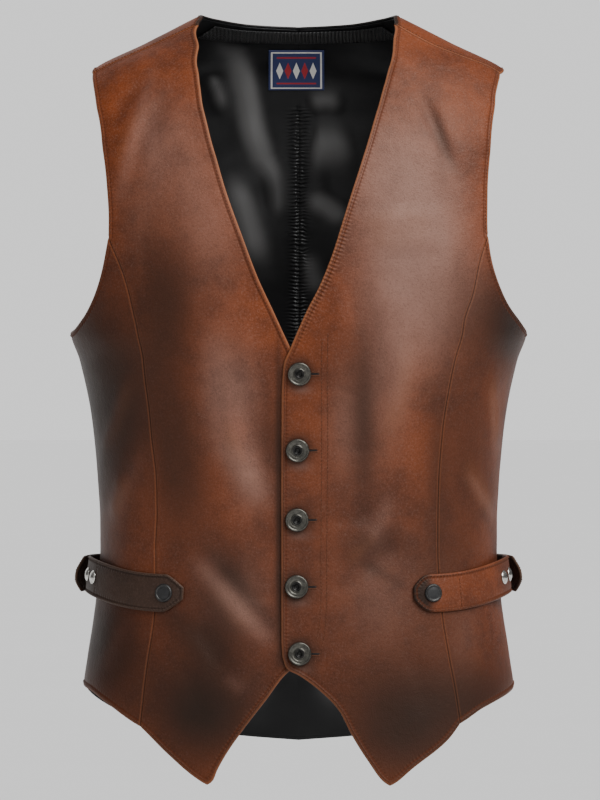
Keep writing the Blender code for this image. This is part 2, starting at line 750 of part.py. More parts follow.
def add_strip(name, places, side, lift, finish):
    """Make one strip of an adjuster, whose inner face stands off the body by lift."""
    add_wall(name, layer(places, side, lift + TAB_WALL), layer(places, side, lift), finish)


def add_adjusters():
    """Make the tabs, the straps over their rear ends, and what fastens them."""
    for side in (LEFT, RIGHT):
        name = SIDE_NAMES[side]
        places = strip_places(TAB_TIP_ANGLE, TAB_REAR_ANGLE, TAB_TIPS[side], strip_middle)
        add_strip(f"tab_{name}", places, side, tab_lift(places[..., 0]), TAB_FINISHES[side])
        places = strip_places(STRAP_TIP_ANGLE, STRAP_ROOT_ANGLE, STRAP_TIP, strap_middle)
        add_strip(f"strap_{name}", places, side, strap_lift(places[..., 0]), "dark_leather")

        middle = float(strip_middle(SNAP_ANGLE))
        seat, normal = seat_on(tab_surface, SNAP_ANGLE, middle, side, SNAP_RADIUS)
        add_turned(f"snap_{name}", SNAP_OUTLINE, seat, normal, "gunmetal")
        for number, angle in enumerate(STUD_ANGLES, 1):
            middle = float(strip_middle(angle))
            seat, normal = seat_on(tab_surface, angle, middle, side, STUD_RADIUS)
            add_turned(f"stud_{name}_{number}", STUD_OUTLINE, seat, normal, "nickel")


def add_buttons():
    """Make the turned buttons down the front edge."""
    for number, button in enumerate(BUTTONS, 1):
        angle = angle_of(button.out, button.height)
        seat, normal = seat_on(cloth_form, angle, button.height, LEFT, BUTTON_RADIUS)
        add_turned(f"button_{number}", BUTTON_OUTLINE, seat, normal, "gunmetal")


def main():
    """Model the vest."""
    clear_scene()
    collection = bpy.data.collections.new("leather_vest")
    bpy.context.scene.collection.children.link(collection)
    add_fronts()
    add_sides()
    add_backs()
    add_inside_trim()
    add_adjusters()
    add_buttons()


main()
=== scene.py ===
"""The looks of the leather vest: burnished leather over its panels, satin inside, sewing and metal fittings.

The object's own sizes are in millimetres and degrees, and meshes are made from them in metres.
Left and right are the wearer's, so left is +X. A place is an angle and a height, as in the CAD:
90 degrees at the centre front, 0 at the side and -90 at the centre back, on either side.
"""

import math
from collections import namedtuple

import bpy
import numpy as np
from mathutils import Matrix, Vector
from mathutils.bvhtree import BVHTree


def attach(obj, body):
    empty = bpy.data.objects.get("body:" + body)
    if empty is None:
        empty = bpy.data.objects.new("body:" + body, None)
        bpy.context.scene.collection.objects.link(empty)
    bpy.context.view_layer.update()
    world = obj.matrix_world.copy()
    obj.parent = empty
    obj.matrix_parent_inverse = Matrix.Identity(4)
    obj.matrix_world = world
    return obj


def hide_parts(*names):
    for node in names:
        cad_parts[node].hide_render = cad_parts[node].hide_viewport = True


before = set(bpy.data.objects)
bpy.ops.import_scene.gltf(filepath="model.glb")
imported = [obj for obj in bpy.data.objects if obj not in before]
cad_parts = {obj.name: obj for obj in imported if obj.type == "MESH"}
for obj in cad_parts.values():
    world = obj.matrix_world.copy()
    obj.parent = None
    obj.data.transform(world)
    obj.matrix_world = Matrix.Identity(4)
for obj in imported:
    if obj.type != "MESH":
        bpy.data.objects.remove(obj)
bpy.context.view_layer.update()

MM = 0.001
LEFT = 1
RIGHT = -1
BOTH = 0
SIDE_NAMES = {LEFT: "left", RIGHT: "right"}

# The garment's sizes, the same as in the CAD
WALL = 2.0
LINING_WALL = 1.0
LAYER_GAP = 0.3
LAP_GAP = 0.6
LINING_INSET = 3.0
UNDERARM_HEIGHT = -257.0
SIDE_HEM_HEIGHT = -568.0
SIDE_SEAM_ANGLE = -4.0
LAP_START = 52.0
LAP_FULL = 20.0
LAP_TOP = -200.0
LAP_RISE = 40.0
ANGLE_STEP = 0.25
HEIGHT_STEP = 0.6
LINE_SAMPLES = 12
ROUGH_POINTS = 40
HALVINGS = 40
TINY = 1e-9


def rows_of(kind, rows, *first):
    """Return rows of one kind; what all of them have in common comes first."""
    return [kind(*first, *row) for row in rows]


Section = namedtuple("Section", "height half_width front_depth back_depth squareness")
SECTIONS = rows_of(Section, [
    (32, 76, 40, 56, -0.03), (27, 86, 44, 60, -0.03), (2, 135, 58, 76, -0.02), (-23, 184, 72, 90, 0.0),
    (-40, 198, 81, 96, 0.015), (-62, 205, 92, 103, 0.03), (-100, 208, 106, 110, 0.04),
    (-160, 208, 118, 116, 0.04), (-205, 206, 123, 117, 0.04), (-256, 203, 124, 113, 0.04),
    (-281, 194.5, 123, 109, 0.04), (-328, 184.6, 119, 102, 0.04), (-360, 180.9, 116.5, 97, 0.04),
    (-392, 178.2, 115, 92, 0.04), (-424, 176.5, 114, 90, 0.04), (-448, 176.4, 114, 90, 0.04),
    (-491, 180.1, 116, 95, 0.04), (-544, 187.8, 119, 103, 0.04), (-570, 191.5, 120, 106, 0.04),
    (-660, 197, 121, 109, 0.04),
])

# Cut edges of the fronts: how far each point lies from the centre line, and how high, for each side
Pair = namedtuple("Pair", "left_out left_height right_out right_height")
FRONT_EDGE = rows_of(Pair, [
    (-14.3, -539, -14.3, -535), (-15.2, -520, -15.2, -520), (-15.2, -430, -15.2, -430),
    (-14.8, -316, -15.0, -340), (-12.9, -285, -12.9, -313), (-8.0, -273, -8.0, -303),
])
NECKLINE = rows_of(Pair, [
    (-8.0, -273, -8.0, -303), (7.4, -238, 7.4, -270), (18.7, -216, 21.3, -240), (29.1, -190, 35.2, -210),
    (40.4, -154, 49.1, -173), (52.2, -117, 63.1, -134), (62.4, -84, 74.6, -95), (72.2, -50, 81.7, -67),
    (79.4, -24, 87.3, -33), (84.1, 3, 88.4, -6), (85.0, 17, 89.0, 17),
])
SHOULDER_SEAM = rows_of(Pair, [
    (85.0, 17, 89.0, 17), (118.7, -2, 130.0, -2), (144.3, -12, 152.0, -12), (172.8, -23, 171.1, -21),
    (178.5, -27, 182.5, -27),
])
ARMHOLE_UPPER = rows_of(Pair, [
    (166.0, -172, 166.6, -173.5), (165.7, -159, 166.6, -158), (166.0, -133, 168.6, -125),
    (169.2, -91, 173.3, -86), (173.8, -51, 178.2, -58), (176.5, -37, 181.8, -37), (178.5, -27, 182.5, -27),
])
ARMHOLE_LOWER = rows_of(Pair, [
    (166.0, -172, 166.6, -173.5), (169.2, -192, 171.9, -200), (174.7, -211, 174.7, -211),
    (183.8, -231, 181.0, -228), (192.0, -242, 189.4, -243), (200.0, -251.5, 199.0, -254),
])
PRINCESS_SEAM = rows_of(Pair, [
    (141.5, -598.5, 138.3, -601), (136.6, -566, 134.8, -569), (130.5, -534, 131.8, -545),
    (125.7, -504, 126.1, -508), (121.8, -445, 124.9, -445), (121.8, -414, 123.6, -414),
    (122.6, -382, 124.4, -382), (125.7, -344, 128.7, -344), (130.4, -312, 133.0, -305),
    (136.5, -281, 139.0, -263), (144.3, -249, 146.1, -231), (152.3, -224, 151.4, -211),
    (159.4, -192, 154.9, -201), (166.0, -172, 166.6, -173.5),
])
CUTAWAY = rows_of(Pair, [
    (-14.3, -539, -14.3, -535), (-10.0, -550, -8.0, -543), (-0.4, -555, 8.3, -552), (15.2, -566, 29.1, -578),
    (35.2, -586, 49.1, -604), (45.6, -606, 63.0, -624), (61.3, -631, 70.8, -638), (75.2, -649, 75.2, -648),
    (79.6, -651.6, 79.6, -650.7),
])
HEM_INNER = rows_of(Pair, [
    (79.6, -651.6, 79.6, -650.7), (83.0, -650, 83.0, -649), (100.5, -636, 114.5, -624),
    (132.0, -611, 130.0, -609), (141.5, -598.5, 138.3, -601),
])
HEM_OUTER = rows_of(Pair, [
    (141.5, -598.5, 138.3, -601), (163.4, -585, 169.8, -581), (180.0, -577.5, 184.0, -572),
])

Place = namedtuple("Place", "angle height")
BACK_HEM = rows_of(Place, [
    (-90, -625), (-77, -621), (-50, -606), (-25, -585), (SIDE_SEAM_ANGLE, SIDE_HEM_HEIGHT),
])
BACK_NECK = rows_of(Place, [
    (-90, 20.5), (-60, 22), (-30, 25.5), (-5, 27), (15, 25.5),
])
BACK_ARMHOLE = rows_of(Place, [
    (SIDE_SEAM_ANGLE, UNDERARM_HEIGHT), (-14, -252), (-27, -240), (-35, -220), (-39, -195), (-40.5, -160),
    (-40, -110), (-38, -70), (-34.5, -45), (-24, -30), (-12, -24), (0, -22),
])

# Folds on the garment's own form: a positive depth stands out and a negative one sinks in
FOLD_END_SHARE = 0.15
FOLD_RISE_SHARE = 0.35
Fold = namedtuple("Fold", "side depth reach path")
FOLDS = rows_of(Fold, [
    (RIGHT, -2.6, 9, [(48, -28), (46, -47), (40, -66)]),
    (RIGHT, -2.6, 12, [(59, -26), (55, -71), (49, -141)]),
    (RIGHT, 2.0, 10, [(58, -32), (50, -80), (46, -132)]),
    (RIGHT, -1.2, 12, [(63, -84), (59, -150)]),
    (LEFT, -2.8, 8, [(61, -41), (58, -83), (53, -122)]),
    (LEFT, 3.0, 32, [(69, -142), (67, -194)]),
    (LEFT, -3.2, 14, [(78, -176), (76, -227), (73, -273), (71, -313), (73, -351)]),
    (LEFT, 2.6, 14, [(67, -243), (66, -289), (68, -328), (70, -360)]),
    (RIGHT, 2.6, 12, [(72, -320), (76, -367), (81, -406)]),
    (RIGHT, -2.6, 12, [(73, -266), (77, -305), (79, -344), (81, -382)]),
    (RIGHT, -2.0, 11, [(66, -425), (74, -462)]),
    (RIGHT, 2.6, 12, [(67, -470), (73, -495), (80, -525)]),
    (RIGHT, -2.6, 12, [(63, -506), (69, -525), (73, -555)]),
    (LEFT, -2.6, 11, [(63, -390), (77, -429)]),
    (LEFT, -2.6, 11, [(63, -432), (76, -472)]),
    (LEFT, 2.2, 10, [(68, -428), (79, -463)]),
    (RIGHT, 2.2, 11, [(46, -290), (35, -334), (16, -375)]),
    (RIGHT, 2.2, 11, [(40, -377), (24, -425)]),
    (LEFT, 2.2, 11, [(36, -281), (26, -325), (18, -368)]),
    (LEFT, 2.2, 12, [(45, -360), (31, -395), (15, -423)]),
    (BOTH, -2.4, 13, [(-42, -215), (-58, -262), (-70, -318)]),
    (BOTH, 2.4, 14, [(-50, -190), (-66, -240), (-76, -290)]),
    (BOTH, -2.6, 14, [(-20, -330), (-34, -385), (-46, -430)]),
    (RIGHT, -2.6, 13, [(-84, -360), (-68, -405), (-56, -436)]),
    (LEFT, -2.6, 13, [(-84, -385), (-70, -418), (-58, -440)]),
    (BOTH, 2.4, 13, [(-62, -350), (-52, -400)]),
    (RIGHT, -2.4, 14, [(-52, -508), (-62, -550), (-68, -590)]),
    (LEFT, -2.4, 14, [(-48, -512), (-56, -548), (-60, -580)]),
    (BOTH, -2.0, 16, [(-86, -60), (-72, -100), (-60, -130)]),
])

# Finer creases: on a face of the body, by how far right of the centre and how high
FRONT = 1
BACK = -1
Crease = namedtuple("Crease", "face depth reach path")
CREASES = rows_of(Crease, [
    (-1.0, 7, [(-129, -146), (-136, -185), (-129, -229)]),
    (-0.9, 8, [(-73, -190), (-82, -229), (-75, -272)]),
    (-0.8, 6, [(-42, -264), (-32, -307), (-25, -342)]),
    (-0.6, 4, [(-15, -303), (-32, -316), (-51, -320)]),
    (-0.7, 5, [(-15, -364), (-38, -377), (-64, -375)]),
    (-0.8, 5, [(-15, -423), (-35, -438), (-54, -452)]),
    (-0.6, 4, [(-15, -482), (-32, -489), (-51, -483)]),
    (0.8, 8, [(-121, -316), (-110, -360), (-114, -403)]),
    (0.9, 9, [(-86, -299), (-95, -342), (-89, -386)]),
    (-0.8, 8, [(-129, -525), (-95, -560), (-82, -595)]),
    (0.7, 8, [(-42, -569), (-64, -578), (-86, -604)]),
    (-0.6, 4, [(21, -297), (41, -309), (54, -313)]),
    (-0.7, 5, [(21, -364), (45, -358), (64, -364)]),
    (-0.8, 5, [(21, -423), (43, -421), (61, -410)]),
    (-0.8, 5, [(21, -482), (41, -477), (58, -469)]),
    (-0.8, 7, [(27, -538), (54, -525), (75, -510)]),
    (0.8, 8, [(110, -255), (115, -299), (106, -342)]),
    (0.8, 8, [(41, -185), (36, -229), (41, -264)]),
    (-0.9, 7, [(132, -98), (150, -133), (157, -168)]),
    (-0.8, 9, [(89, -525), (106, -560), (110, -595)]),
    (0.7, 8, [(150, -508), (158, -543), (157, -569)]),
], FRONT) + rows_of(Crease, [
    (-0.9, 8, [(-120, -110), (-96, -150), (-82, -196)]),
    (-0.9, 7, [(124, -120), (104, -168), (92, -205)]),
    (0.8, 8, [(-30, -90), (-38, -150), (-30, -214)]),
    (0.8, 9, [(36, -70), (30, -122), (40, -180)]),
    (-0.8, 6, [(-76, -470), (-52, -452), (-30, -448)]),
    (-0.8, 6, [(-78, -480), (-50, -484), (-22, -476)]),
    (-0.8, 6, [(76, -468), (50, -446), (28, -440)]),
    (-0.8, 6, [(78, -482), (54, -490), (24, -488)]),
    (-0.7, 7, [(-12, -330), (-30, -372), (-34, -410)]),
    (-0.7, 7, [(14, -300), (32, -350), (30, -396)]),
    (0.8, 9, [(-110, -520), (-96, -560), (-100, -594)]),
    (0.8, 9, [(112, -516), (104, -552), (92, -590)]),
], BACK)

# Folds of the satin inside the back, where a positive depth stands in towards the wearer
LINING_FOLDS = rows_of(Crease, [
    (4.4, 12, [(-70, 10), (-57, -6), (-49, -33), (-42, -67), (-31, -101), (-13, -116)]),
    (2.6, 6, [(-80, -18), (-74, -34), (-66, -56)]),
    (3.6, 13, [(-66, -104), (-52, -135), (-41, -170), (-31, -200)]),
    (2.6, 10, [(6, -50), (24, -44), (44, -48)]),
    (3.8, 20, [(8, -84), (26, -86), (54, -80)]),
    (3.6, 11, [(2, -134), (18, -137), (34, -147), (44, -160)]),
    (2.0, 9, [(-28, -89), (-20, -125), (-17, -157)]),
    (2.2, 11, [(4, -180), (12, -202), (18, -225)]),
    (3.0, 14, [(-120, -60), (-100, -150), (-92, -240)]),
    (3.0, 14, [(118, -70), (104, -140), (80, -230)]),
    (3.2, 15, [(-70, -300), (-52, -380), (-66, -450)]),
    (3.2, 15, [(66, -280), (74, -360), (56, -440)]),
    (3.0, 14, [(-30, -500), (-44, -560), (-36, -600)]),
    (3.0, 14, [(32, -490), (24, -550), (38, -604)]),
    (2.8, 14, [(-130, -480), (-120, -540), (-126, -580)]),
    (2.8, 14, [(128, -470), (122, -530), (130, -575)]),
], BACK)

# Adjusters, as in the CAD
TAB_ANGLE = 55.0
TAB_FRONT_HEIGHT = -484.5
TAB_SIDE_HEIGHT = -471.0
TAB_HALF_WIDTH = 16.5
TAB_WALL = 2.2
TAB_SEAT = 0.5
TAB_TIP_ANGLE = 60.4
TAB_REAR_ANGLE = -12.0
TAB_STAND_OFF = 7.5
TAB_LEAVE_ANGLE = 38.0
STRAP_TIP_ANGLE = -1.0
STRAP_ROOT_ANGLE = -64.0
STRAP_FLARE = 7.5
STRAP_FLARE_START = -14.0
STRAP_FLARE_SPAN = 13.0
STRAP_DROOP = 3.0
STRAP_DROOP_SPAN = 13.0
STRAP_GAP = 1.0
STRAP_FREE_ANGLE = -20.0
Tip = namedtuple("Tip", "span end_share roundness")
TAB_TIPS = {LEFT: Tip(6.0, 0.3, 2.2), RIGHT: Tip(6.0, 0.3, 1.3)}
STRAP_TIP = Tip(7.0, 0.15, 1.0)
SNAP_ANGLE = 54.2
STUD_ANGLES = (15.0, 7.0)
TAB_SEAM_ANGLES = {LEFT: 43.5, RIGHT: 18.0}

# Buttons along the front edge, as in the CAD
Button = namedtuple("Button", "out height")
BUTTONS = [
    Button(0.8, -293.4),
    Button(-0.9, -359.9),
    Button(-1.3, -420.4),
    Button(-1.7, -478.6),
    Button(1.0, -536.7),
]
BUTTON_RADIUS = 10.2
BUTTON_MIDDLE = (0.0, 4.4)
TURN_STEPS = 64
BUTTON_OUTLINE = [
    (0, 1.2), (1.4, 1.2), (1.9, 1.5), (2.3, 2.5), (2.9, 2.9), (4.3, 3.0), (4.8, 2.7), (5.1, 2.0), (5.5, 1.8),
    (6.0, 2.2), (7.6, 2.3), (8.2, 2.2), (8.5, 2.6), (8.9, 3.0), (9.4, 3.0), (9.9, 2.5), (BUTTON_RADIUS, 1.6),
    (10.0, 0.6), (9.4, 0), (0, 0),
]
SNAP_RADIUS = 8.0
SNAP_OUTLINE = [
    (0, 1.9), (2.5, 1.85), (4.6, 1.7), (5.5, 1.5), (5.9, 1.6), (6.2, 2.0), (6.7, 2.15), (7.2, 2.0),
    (7.6, 1.4), (SNAP_RADIUS, 0.8), (7.8, 0.3), (7.4, 0), (0, 0),
]
SNAP_RING = (5.7, 7.0)
STUD_RADIUS = 6.3
STUD_OUTLINE = [
    (0, 2.8), (1.6, 2.72), (2.9, 2.45), (4.1, 2.0), (5.1, 1.4), (5.8, 0.9), (STUD_RADIUS, 0.4), (6.2, 0.1),
    (5.8, 0), (0, 0),
]

# Label and neck facing, as in the CAD
LABEL_WIDTH = 51.0
LABEL_TOP = 2.0
LABEL_BOTTOM = -34.0
LABEL_MIDDLE = -2.0
LABEL_WALL = 0.8
LABEL_GAP = 0.9
FACING_HEIGHT = 10.0
FACING_END_ANGLE = -34.0
FACING_WALL = 0.9

# Fineness of the cloth: the distances from an edge that have points of their own, then even steps
EDGE_STEPS = (0.2, 0.5, 0.9, 1.4, 2.0, 2.8, 3.6, 4.4, 5.2, 6.2, 7.6)
FRONT_STEP = 2.0
BACK_STEP = 2.8
LINE_STEP = 3.0

# Turned edges: the radius and depth of the fold, the roll beside it, and the groove of the stitch row
EDGE_RADIUS = 1.0
EDGE_DEPTH = 0.9
DEEPEST_FACE = -0.92
STITCH_INSET = 4.4
Bump = namedtuple("Bump", "rise place reach")
EDGE_ROLL = Bump(0.3, 2.4, 1.5)
EDGE_GROOVE = Bump(-0.3, STITCH_INSET, 0.8)
SEAM_ROLL = Bump(0.25, 2.2, 0.7)
SEAM_CLEFT = Bump(-0.42, 0.0, 0.7)
FACING_BAND = 38.0
# A distance from a seam or an edge beyond which nothing looks for it
FAR_OFF = 60.0
# The hide's soft unevenness: how deep it is, and the lengths of its waves
UNEVEN_DEPTH = 0.3
UNEVEN_WAVES = (95, 70, 52, 40, 31, 24)
# A fold this deep shows as a full crest
FULL_CREST = 2.6

# Sewing
STITCH_LENGTH = 2.5
STITCH_PITCH = 3.1
STITCH_RADIUS = 0.3


def curve_through(knots, values):
    """Return a smooth function through rising knots, which never swings past its values."""
    knots = np.asarray(knots, float)
    values = np.asarray(values, float)
    step = np.diff(knots)
    slope = np.diff(values) / step
    tangent = np.zeros(len(knots))
    tangent[0] = slope[0]
    tangent[-1] = slope[-1]
    for i in range(1, len(knots) - 1):
        if slope[i - 1] * slope[i] > 0:
            before = 2 * step[i] + step[i - 1]
            after = step[i] + 2 * step[i - 1]
            tangent[i] = (before + after) / (before / slope[i - 1] + after / slope[i])

    def value(at):
        at = np.clip(np.asarray(at, float), knots[0], knots[-1])
        i = np.clip(np.searchsorted(knots, at) - 1, 0, len(step) - 1)
        t = (at - knots[i]) / step[i]
        start = (2 * t**3 - 3 * t**2 + 1) * values[i] + (t**3 - 2 * t**2 + t) * step[i] * tangent[i]
        end = (3 * t**2 - 2 * t**3) * values[i + 1] + (t**3 - t**2) * step[i] * tangent[i + 1]
        return start + end

    return value


RISING = SECTIONS[::-1]
HEIGHTS = [section.height for section in RISING]
half_width = curve_through(HEIGHTS, [section.half_width for section in RISING])
front_depth = curve_through(HEIGHTS, [section.front_depth for section in RISING])
back_depth = curve_through(HEIGHTS, [section.back_depth for section in RISING])
squareness = curve_through(HEIGHTS, [section.squareness for section in RISING])


def ease(value):
    """Rise smoothly from 0 to 1 as the value does."""
    t = np.clip(value, 0.0, 1.0)
    return t * t * (3 - 2 * t)


def bell(distance, reach):
    """Fall smoothly from 1 at no distance to nothing past the reach."""
    return np.exp(-((distance / reach) ** 2))


def run_along(points):
    """Return the length run along a line at each of its points."""
    return np.concatenate([[0], np.cumsum(np.linalg.norm(np.diff(points, axis=0), axis=1))])


def at_runs(runs, length, values):
    """Return the values of a line's points at other lengths run along it."""
    return np.stack([np.interp(runs, length, values[:, k]) for k in range(values.shape[1])], axis=-1)


def bumps(distance, *rows):
    """Return the height of one or more bumps at a distance from the edge that they follow."""
    return sum(row.rise * bell(distance - row.place, row.reach) for row in rows)


def unit(vectors):
    """Return vectors at a length of one."""
    return vectors / np.linalg.norm(vectors, axis=-1, keepdims=True)


def share_out(angle, height):
    """Return the share of the half width at an angle round the section."""
    turn = np.radians(angle)
    square = squareness(height)
    return (np.cos(turn) - square * np.cos(3 * turn)) / (1 - square)


def plain_form(angle, height, side):
    """Return points in millimetres on the garment's form without its folds."""
    turn = np.radians(angle)
    square = squareness(height)
    share = (np.sin(turn) + square * np.sin(3 * turn)) / (1 - square)
    depth = np.where(share > 0, front_depth(height), back_depth(height))
    return np.stack([side * half_width(height) * share_out(angle, height), -depth * share, height], axis=-1)


def angle_of(out, height):
    """Return the front angle of a point that lies this far out at this height."""
    share = min(abs(out) / float(half_width(height)), 1.0)
    low = 0.0
    high = 90.0
    for _ in range(HALVINGS):
        middle = (low + high) / 2
        if share_out(middle, height) > share:
            low = middle
        else:
            high = middle
    return low if out >= 0 else 180.0 - low


def axis_points(angle, height, side):
    """Return closely set points on the plain form along a smooth line of places."""
    along = np.linspace(0, 1, len(angle))
    fine = np.linspace(0, 1, LINE_SAMPLES + 1)
    return plain_form(curve_through(along, angle)(fine), curve_through(along, height)(fine), side)


def fold_axes():
    """Return each fold's and crease's axis, depth and reach."""
    axes = []
    for fold in FOLDS:
        angles, heights = zip(*fold.path)
        for side in (LEFT, RIGHT):
            if fold.side in (BOTH, side):
                axes.append((axis_points(angles, heights, side), fold.depth, fold.reach))
    return axes + crease_axes(CREASES)


def crease_axes(creases):
    """Return the axis, depth and reach of creases that are placed by width and height."""
    axes = []
    for crease in creases:
        heights = [height for _, height in crease.path]
        angles = [crease.face * angle_of(out, height) for out, height in crease.path]
        axes.append((axis_points(angles, heights, LEFT), crease.depth, crease.reach))
    return axes


FOLD_AXES = fold_axes()
LINING_AXES = crease_axes(LINING_FOLDS)


def relief(points, axes):
    """Return how far folds along these axes move each point, in millimetres."""
    flat = points.reshape(-1, 3)
    moved = np.zeros(len(flat))
    for axis, depth, reach in axes:
        low = axis.min(axis=0) - 3 * reach
        high = axis.max(axis=0) + 3 * reach
        near = np.flatnonzero(((flat > low) & (flat < high)).all(axis=1))
        close = flat[near]
        nearest = np.full(len(close), np.inf)
        along = np.zeros(len(close))
        spans = len(axis) - 1
        for i in range(spans):
            run = axis[i + 1] - axis[i]
            t = np.clip(((close - axis[i]) @ run) / (run @ run), 0, 1)
            away = np.linalg.norm(close - axis[i] - t[:, None] * run, axis=1)
            closer = away < nearest
            nearest = np.where(closer, away, nearest)
            along = np.where(closer, (i + t) / spans, along)
        middle = ease(along / FOLD_RISE_SHARE) * ease((1 - along) / FOLD_RISE_SHARE)
        taper = FOLD_END_SHARE + (1 - FOLD_END_SHARE) * middle
        moved[near] += depth * taper * bell(nearest, reach)
    return moved.reshape(points.shape[:-1])


def normals_by(surface, angle, height, side):
    """Return the outward normals of a surface by small steps in angle and height."""
    across = surface(angle + ANGLE_STEP, height, side) - surface(angle - ANGLE_STEP, height, side)
    along = surface(angle, height + HEIGHT_STEP, side) - surface(angle, height - HEIGHT_STEP, side)
    return unit(np.cross(along, across) * side)


def plain_skin(places, side):
    """Return the points and normals of the plain form at a grid of places."""
    angle = places[..., 0]
    height = places[..., 1]
    return plain_form(angle, height, side), normals_by(plain_form, angle, height, side)


def cloth_form(angle, height, side):
    """Return points in millimetres on the garment's outer face, folds and all."""
    points = plain_form(angle, height, side)
    normal = normals_by(plain_form, angle, height, side)
    return points + normal * relief(points, FOLD_AXES)[..., None]


def edge_places(table, side):
    """Turn a table of both sides' points into one side's angles and heights."""
    places = []
    for row in table:
        if side == LEFT:
            out, height = row.left_out, row.left_height
        else:
            out, height = row.right_out, row.right_height
        places.append((angle_of(out, height), height))
    return np.array(places)


def along_line(places, side, shares):
    """Return places at shares of the length of a smooth line through the given ones."""
    places = np.asarray(places, float)
    corners = plain_form(places[:, 0], places[:, 1], side)
    run = run_along(corners)
    fine = np.linspace(0, run[-1], LINE_SAMPLES * len(places))
    angle = curve_through(run, places[:, 0])(fine)
    height = curve_through(run, places[:, 1])(fine)
    length = run_along(plain_form(angle, height, side))
    return at_runs(np.asarray(shares) * length[-1], length, np.stack([angle, height], axis=-1))


def chain(lines, corners, shares, side):
    """Return places at shares along lines that meet end to end at the shares named as corners."""
    ends = [0.0, *corners, 1.0]
    places = []
    for i, line in enumerate(lines):
        first = 0 if i == 0 else 1
        inside = [s for s in shares if ends[i] - TINY <= s <= ends[i + 1] + TINY][first:]
        local = (np.array(inside) - ends[i]) / (ends[i + 1] - ends[i])
        places.append(along_line(line, side, np.clip(local, 0, 1)))
    return np.concatenate(places)


def graded(length, step, corners=()):
    """Return shares from 0 to 1 that lie close together near both ends and pass through the corners."""
    count = max(2, round((length - 2 * EDGE_STEPS[-1]) / step))
    middle = np.linspace(EDGE_STEPS[-1], length - EDGE_STEPS[-1], count + 1)
    start = (0.0, *EDGE_STEPS[:-1])
    shares = np.concatenate([start, middle, [length - s for s in start[::-1]]]) / length
    for corner in corners:
        shares[np.argmin(np.abs(shares - corner))] = corner
    return shares


def fill(bottom, top, inner, outer, across, up):
    """Spread a grid of places between four edges that meet at their ends."""
    u = across[None, :, None]
    v = up[:, None, None]
    rows = (1 - v) * bottom[None] + v * top[None]
    columns = (1 - u) * inner[:, None] + u * outer[:, None]
    corners = (1 - v) * ((1 - u) * bottom[0] + u * bottom[-1]) + v * ((1 - u) * top[0] + u * top[-1])
    return rows + columns - corners


# Where the corners lie along the edges of each panel's grid, as shares
HEM_CORNER = 6 / 11
FRONT_EDGE_CORNER = 14 / 36
PRINCESS_CORNER = 19 / 36
WAIST_CORNER = 19 / 36
NECK_CORNER = 30 / 36

# Rough sizes of the panels' grids, which set their fineness
FRONT_SIZE = (150.0, 640.0)
SIDE_SIZE = (95.0, 400.0)
BACK_SIZE = (200.0, 650.0)


def front_places(side):
    """Return the grid of a centre front: up its front edge, and across to the princess seam."""
    across = graded(FRONT_SIZE[0], FRONT_STEP, [HEM_CORNER])
    up = graded(FRONT_SIZE[1], FRONT_STEP, [FRONT_EDGE_CORNER, PRINCESS_CORNER])
    places = {name: edge_places(table, side) for name, table in (
        ("cutaway", CUTAWAY), ("hem", HEM_INNER), ("edge", FRONT_EDGE), ("neck", NECKLINE),
        ("princess", PRINCESS_SEAM), ("armhole", ARMHOLE_UPPER), ("shoulder", SHOULDER_SEAM),
    )}
    bottom = chain([places["cutaway"], places["hem"]], [HEM_CORNER], across, side)
    inner = chain([places["edge"], places["neck"]], [FRONT_EDGE_CORNER], up, side)
    outer = chain([places["princess"], places["armhole"]], [PRINCESS_CORNER], up, side)
    top = along_line(places["shoulder"], side, across)
    return fill(bottom, top, inner, outer, across, up)


def side_places(side):
    """Return the grid of a side front, between the princess seam and the side seam."""
    across = graded(SIDE_SIZE[0], FRONT_STEP)
    up = graded(SIDE_SIZE[1], FRONT_STEP)
    hem_end = [(SIDE_SEAM_ANGLE, SIDE_HEM_HEIGHT)]
    armhole_end = [(SIDE_SEAM_ANGLE, UNDERARM_HEIGHT)]
    bottom = along_line(np.concatenate([edge_places(HEM_OUTER, side), hem_end]), side, across)
    top = along_line(np.concatenate([edge_places(ARMHOLE_LOWER, side), armhole_end]), side, across)
    inner = along_line(edge_places(PRINCESS_SEAM, side), side, up)
    outer = along_line(hem_end + armhole_end, side, up)
    return fill(bottom, top, inner, outer, across, up)


def back_lines(side):
    """Return a back's edges: the centre in two parts, the neck, the side seam and the armhole."""
    seam = edge_places(SHOULDER_SEAM, side)
    centre = [(-90, height) for height in (BACK_HEM[0].height, UNDERARM_HEIGHT, BACK_NECK[0].height)]
    side_seam = [(SIDE_SEAM_ANGLE, SIDE_HEM_HEIGHT), (SIDE_SEAM_ANGLE, UNDERARM_HEIGHT)]
    neck = np.concatenate([BACK_NECK, seam[:1]])
    armhole = np.concatenate([BACK_ARMHOLE, seam[-1:]])
    return centre[:2], centre[1:], neck, side_seam, armhole, seam


def back_places(side, step):
    """Return the grid of a back, from the centre back over the shoulder to its seam."""
    across = graded(BACK_SIZE[0], step)
    up = graded(BACK_SIZE[1], step, [WAIST_CORNER, NECK_CORNER])
    lower, upper, neck, side_seam, armhole, seam = back_lines(side)
    bottom = along_line(BACK_HEM, side, across)
    inner = chain([lower, upper, neck], [WAIST_CORNER, NECK_CORNER], up, side)
    outer = chain([side_seam, armhole], [WAIST_CORNER], up, side)
    top = along_line(seam, side, across)
    return fill(bottom, top, inner, outer, across, up)


def line_points(places, side, step=LINE_STEP):
    """Return points in millimetres on the plain form, evenly set along a line of places."""
    rough = along_line(places, side, np.linspace(0, 1, ROUGH_POINTS))
    length = run_along(plain_form(rough[:, 0], rough[:, 1], side))[-1]
    even = along_line(places, side, np.linspace(0, 1, max(2, round(length / step)) + 1))
    return plain_form(even[:, 0], even[:, 1], side)


AT_A_TIME = 400


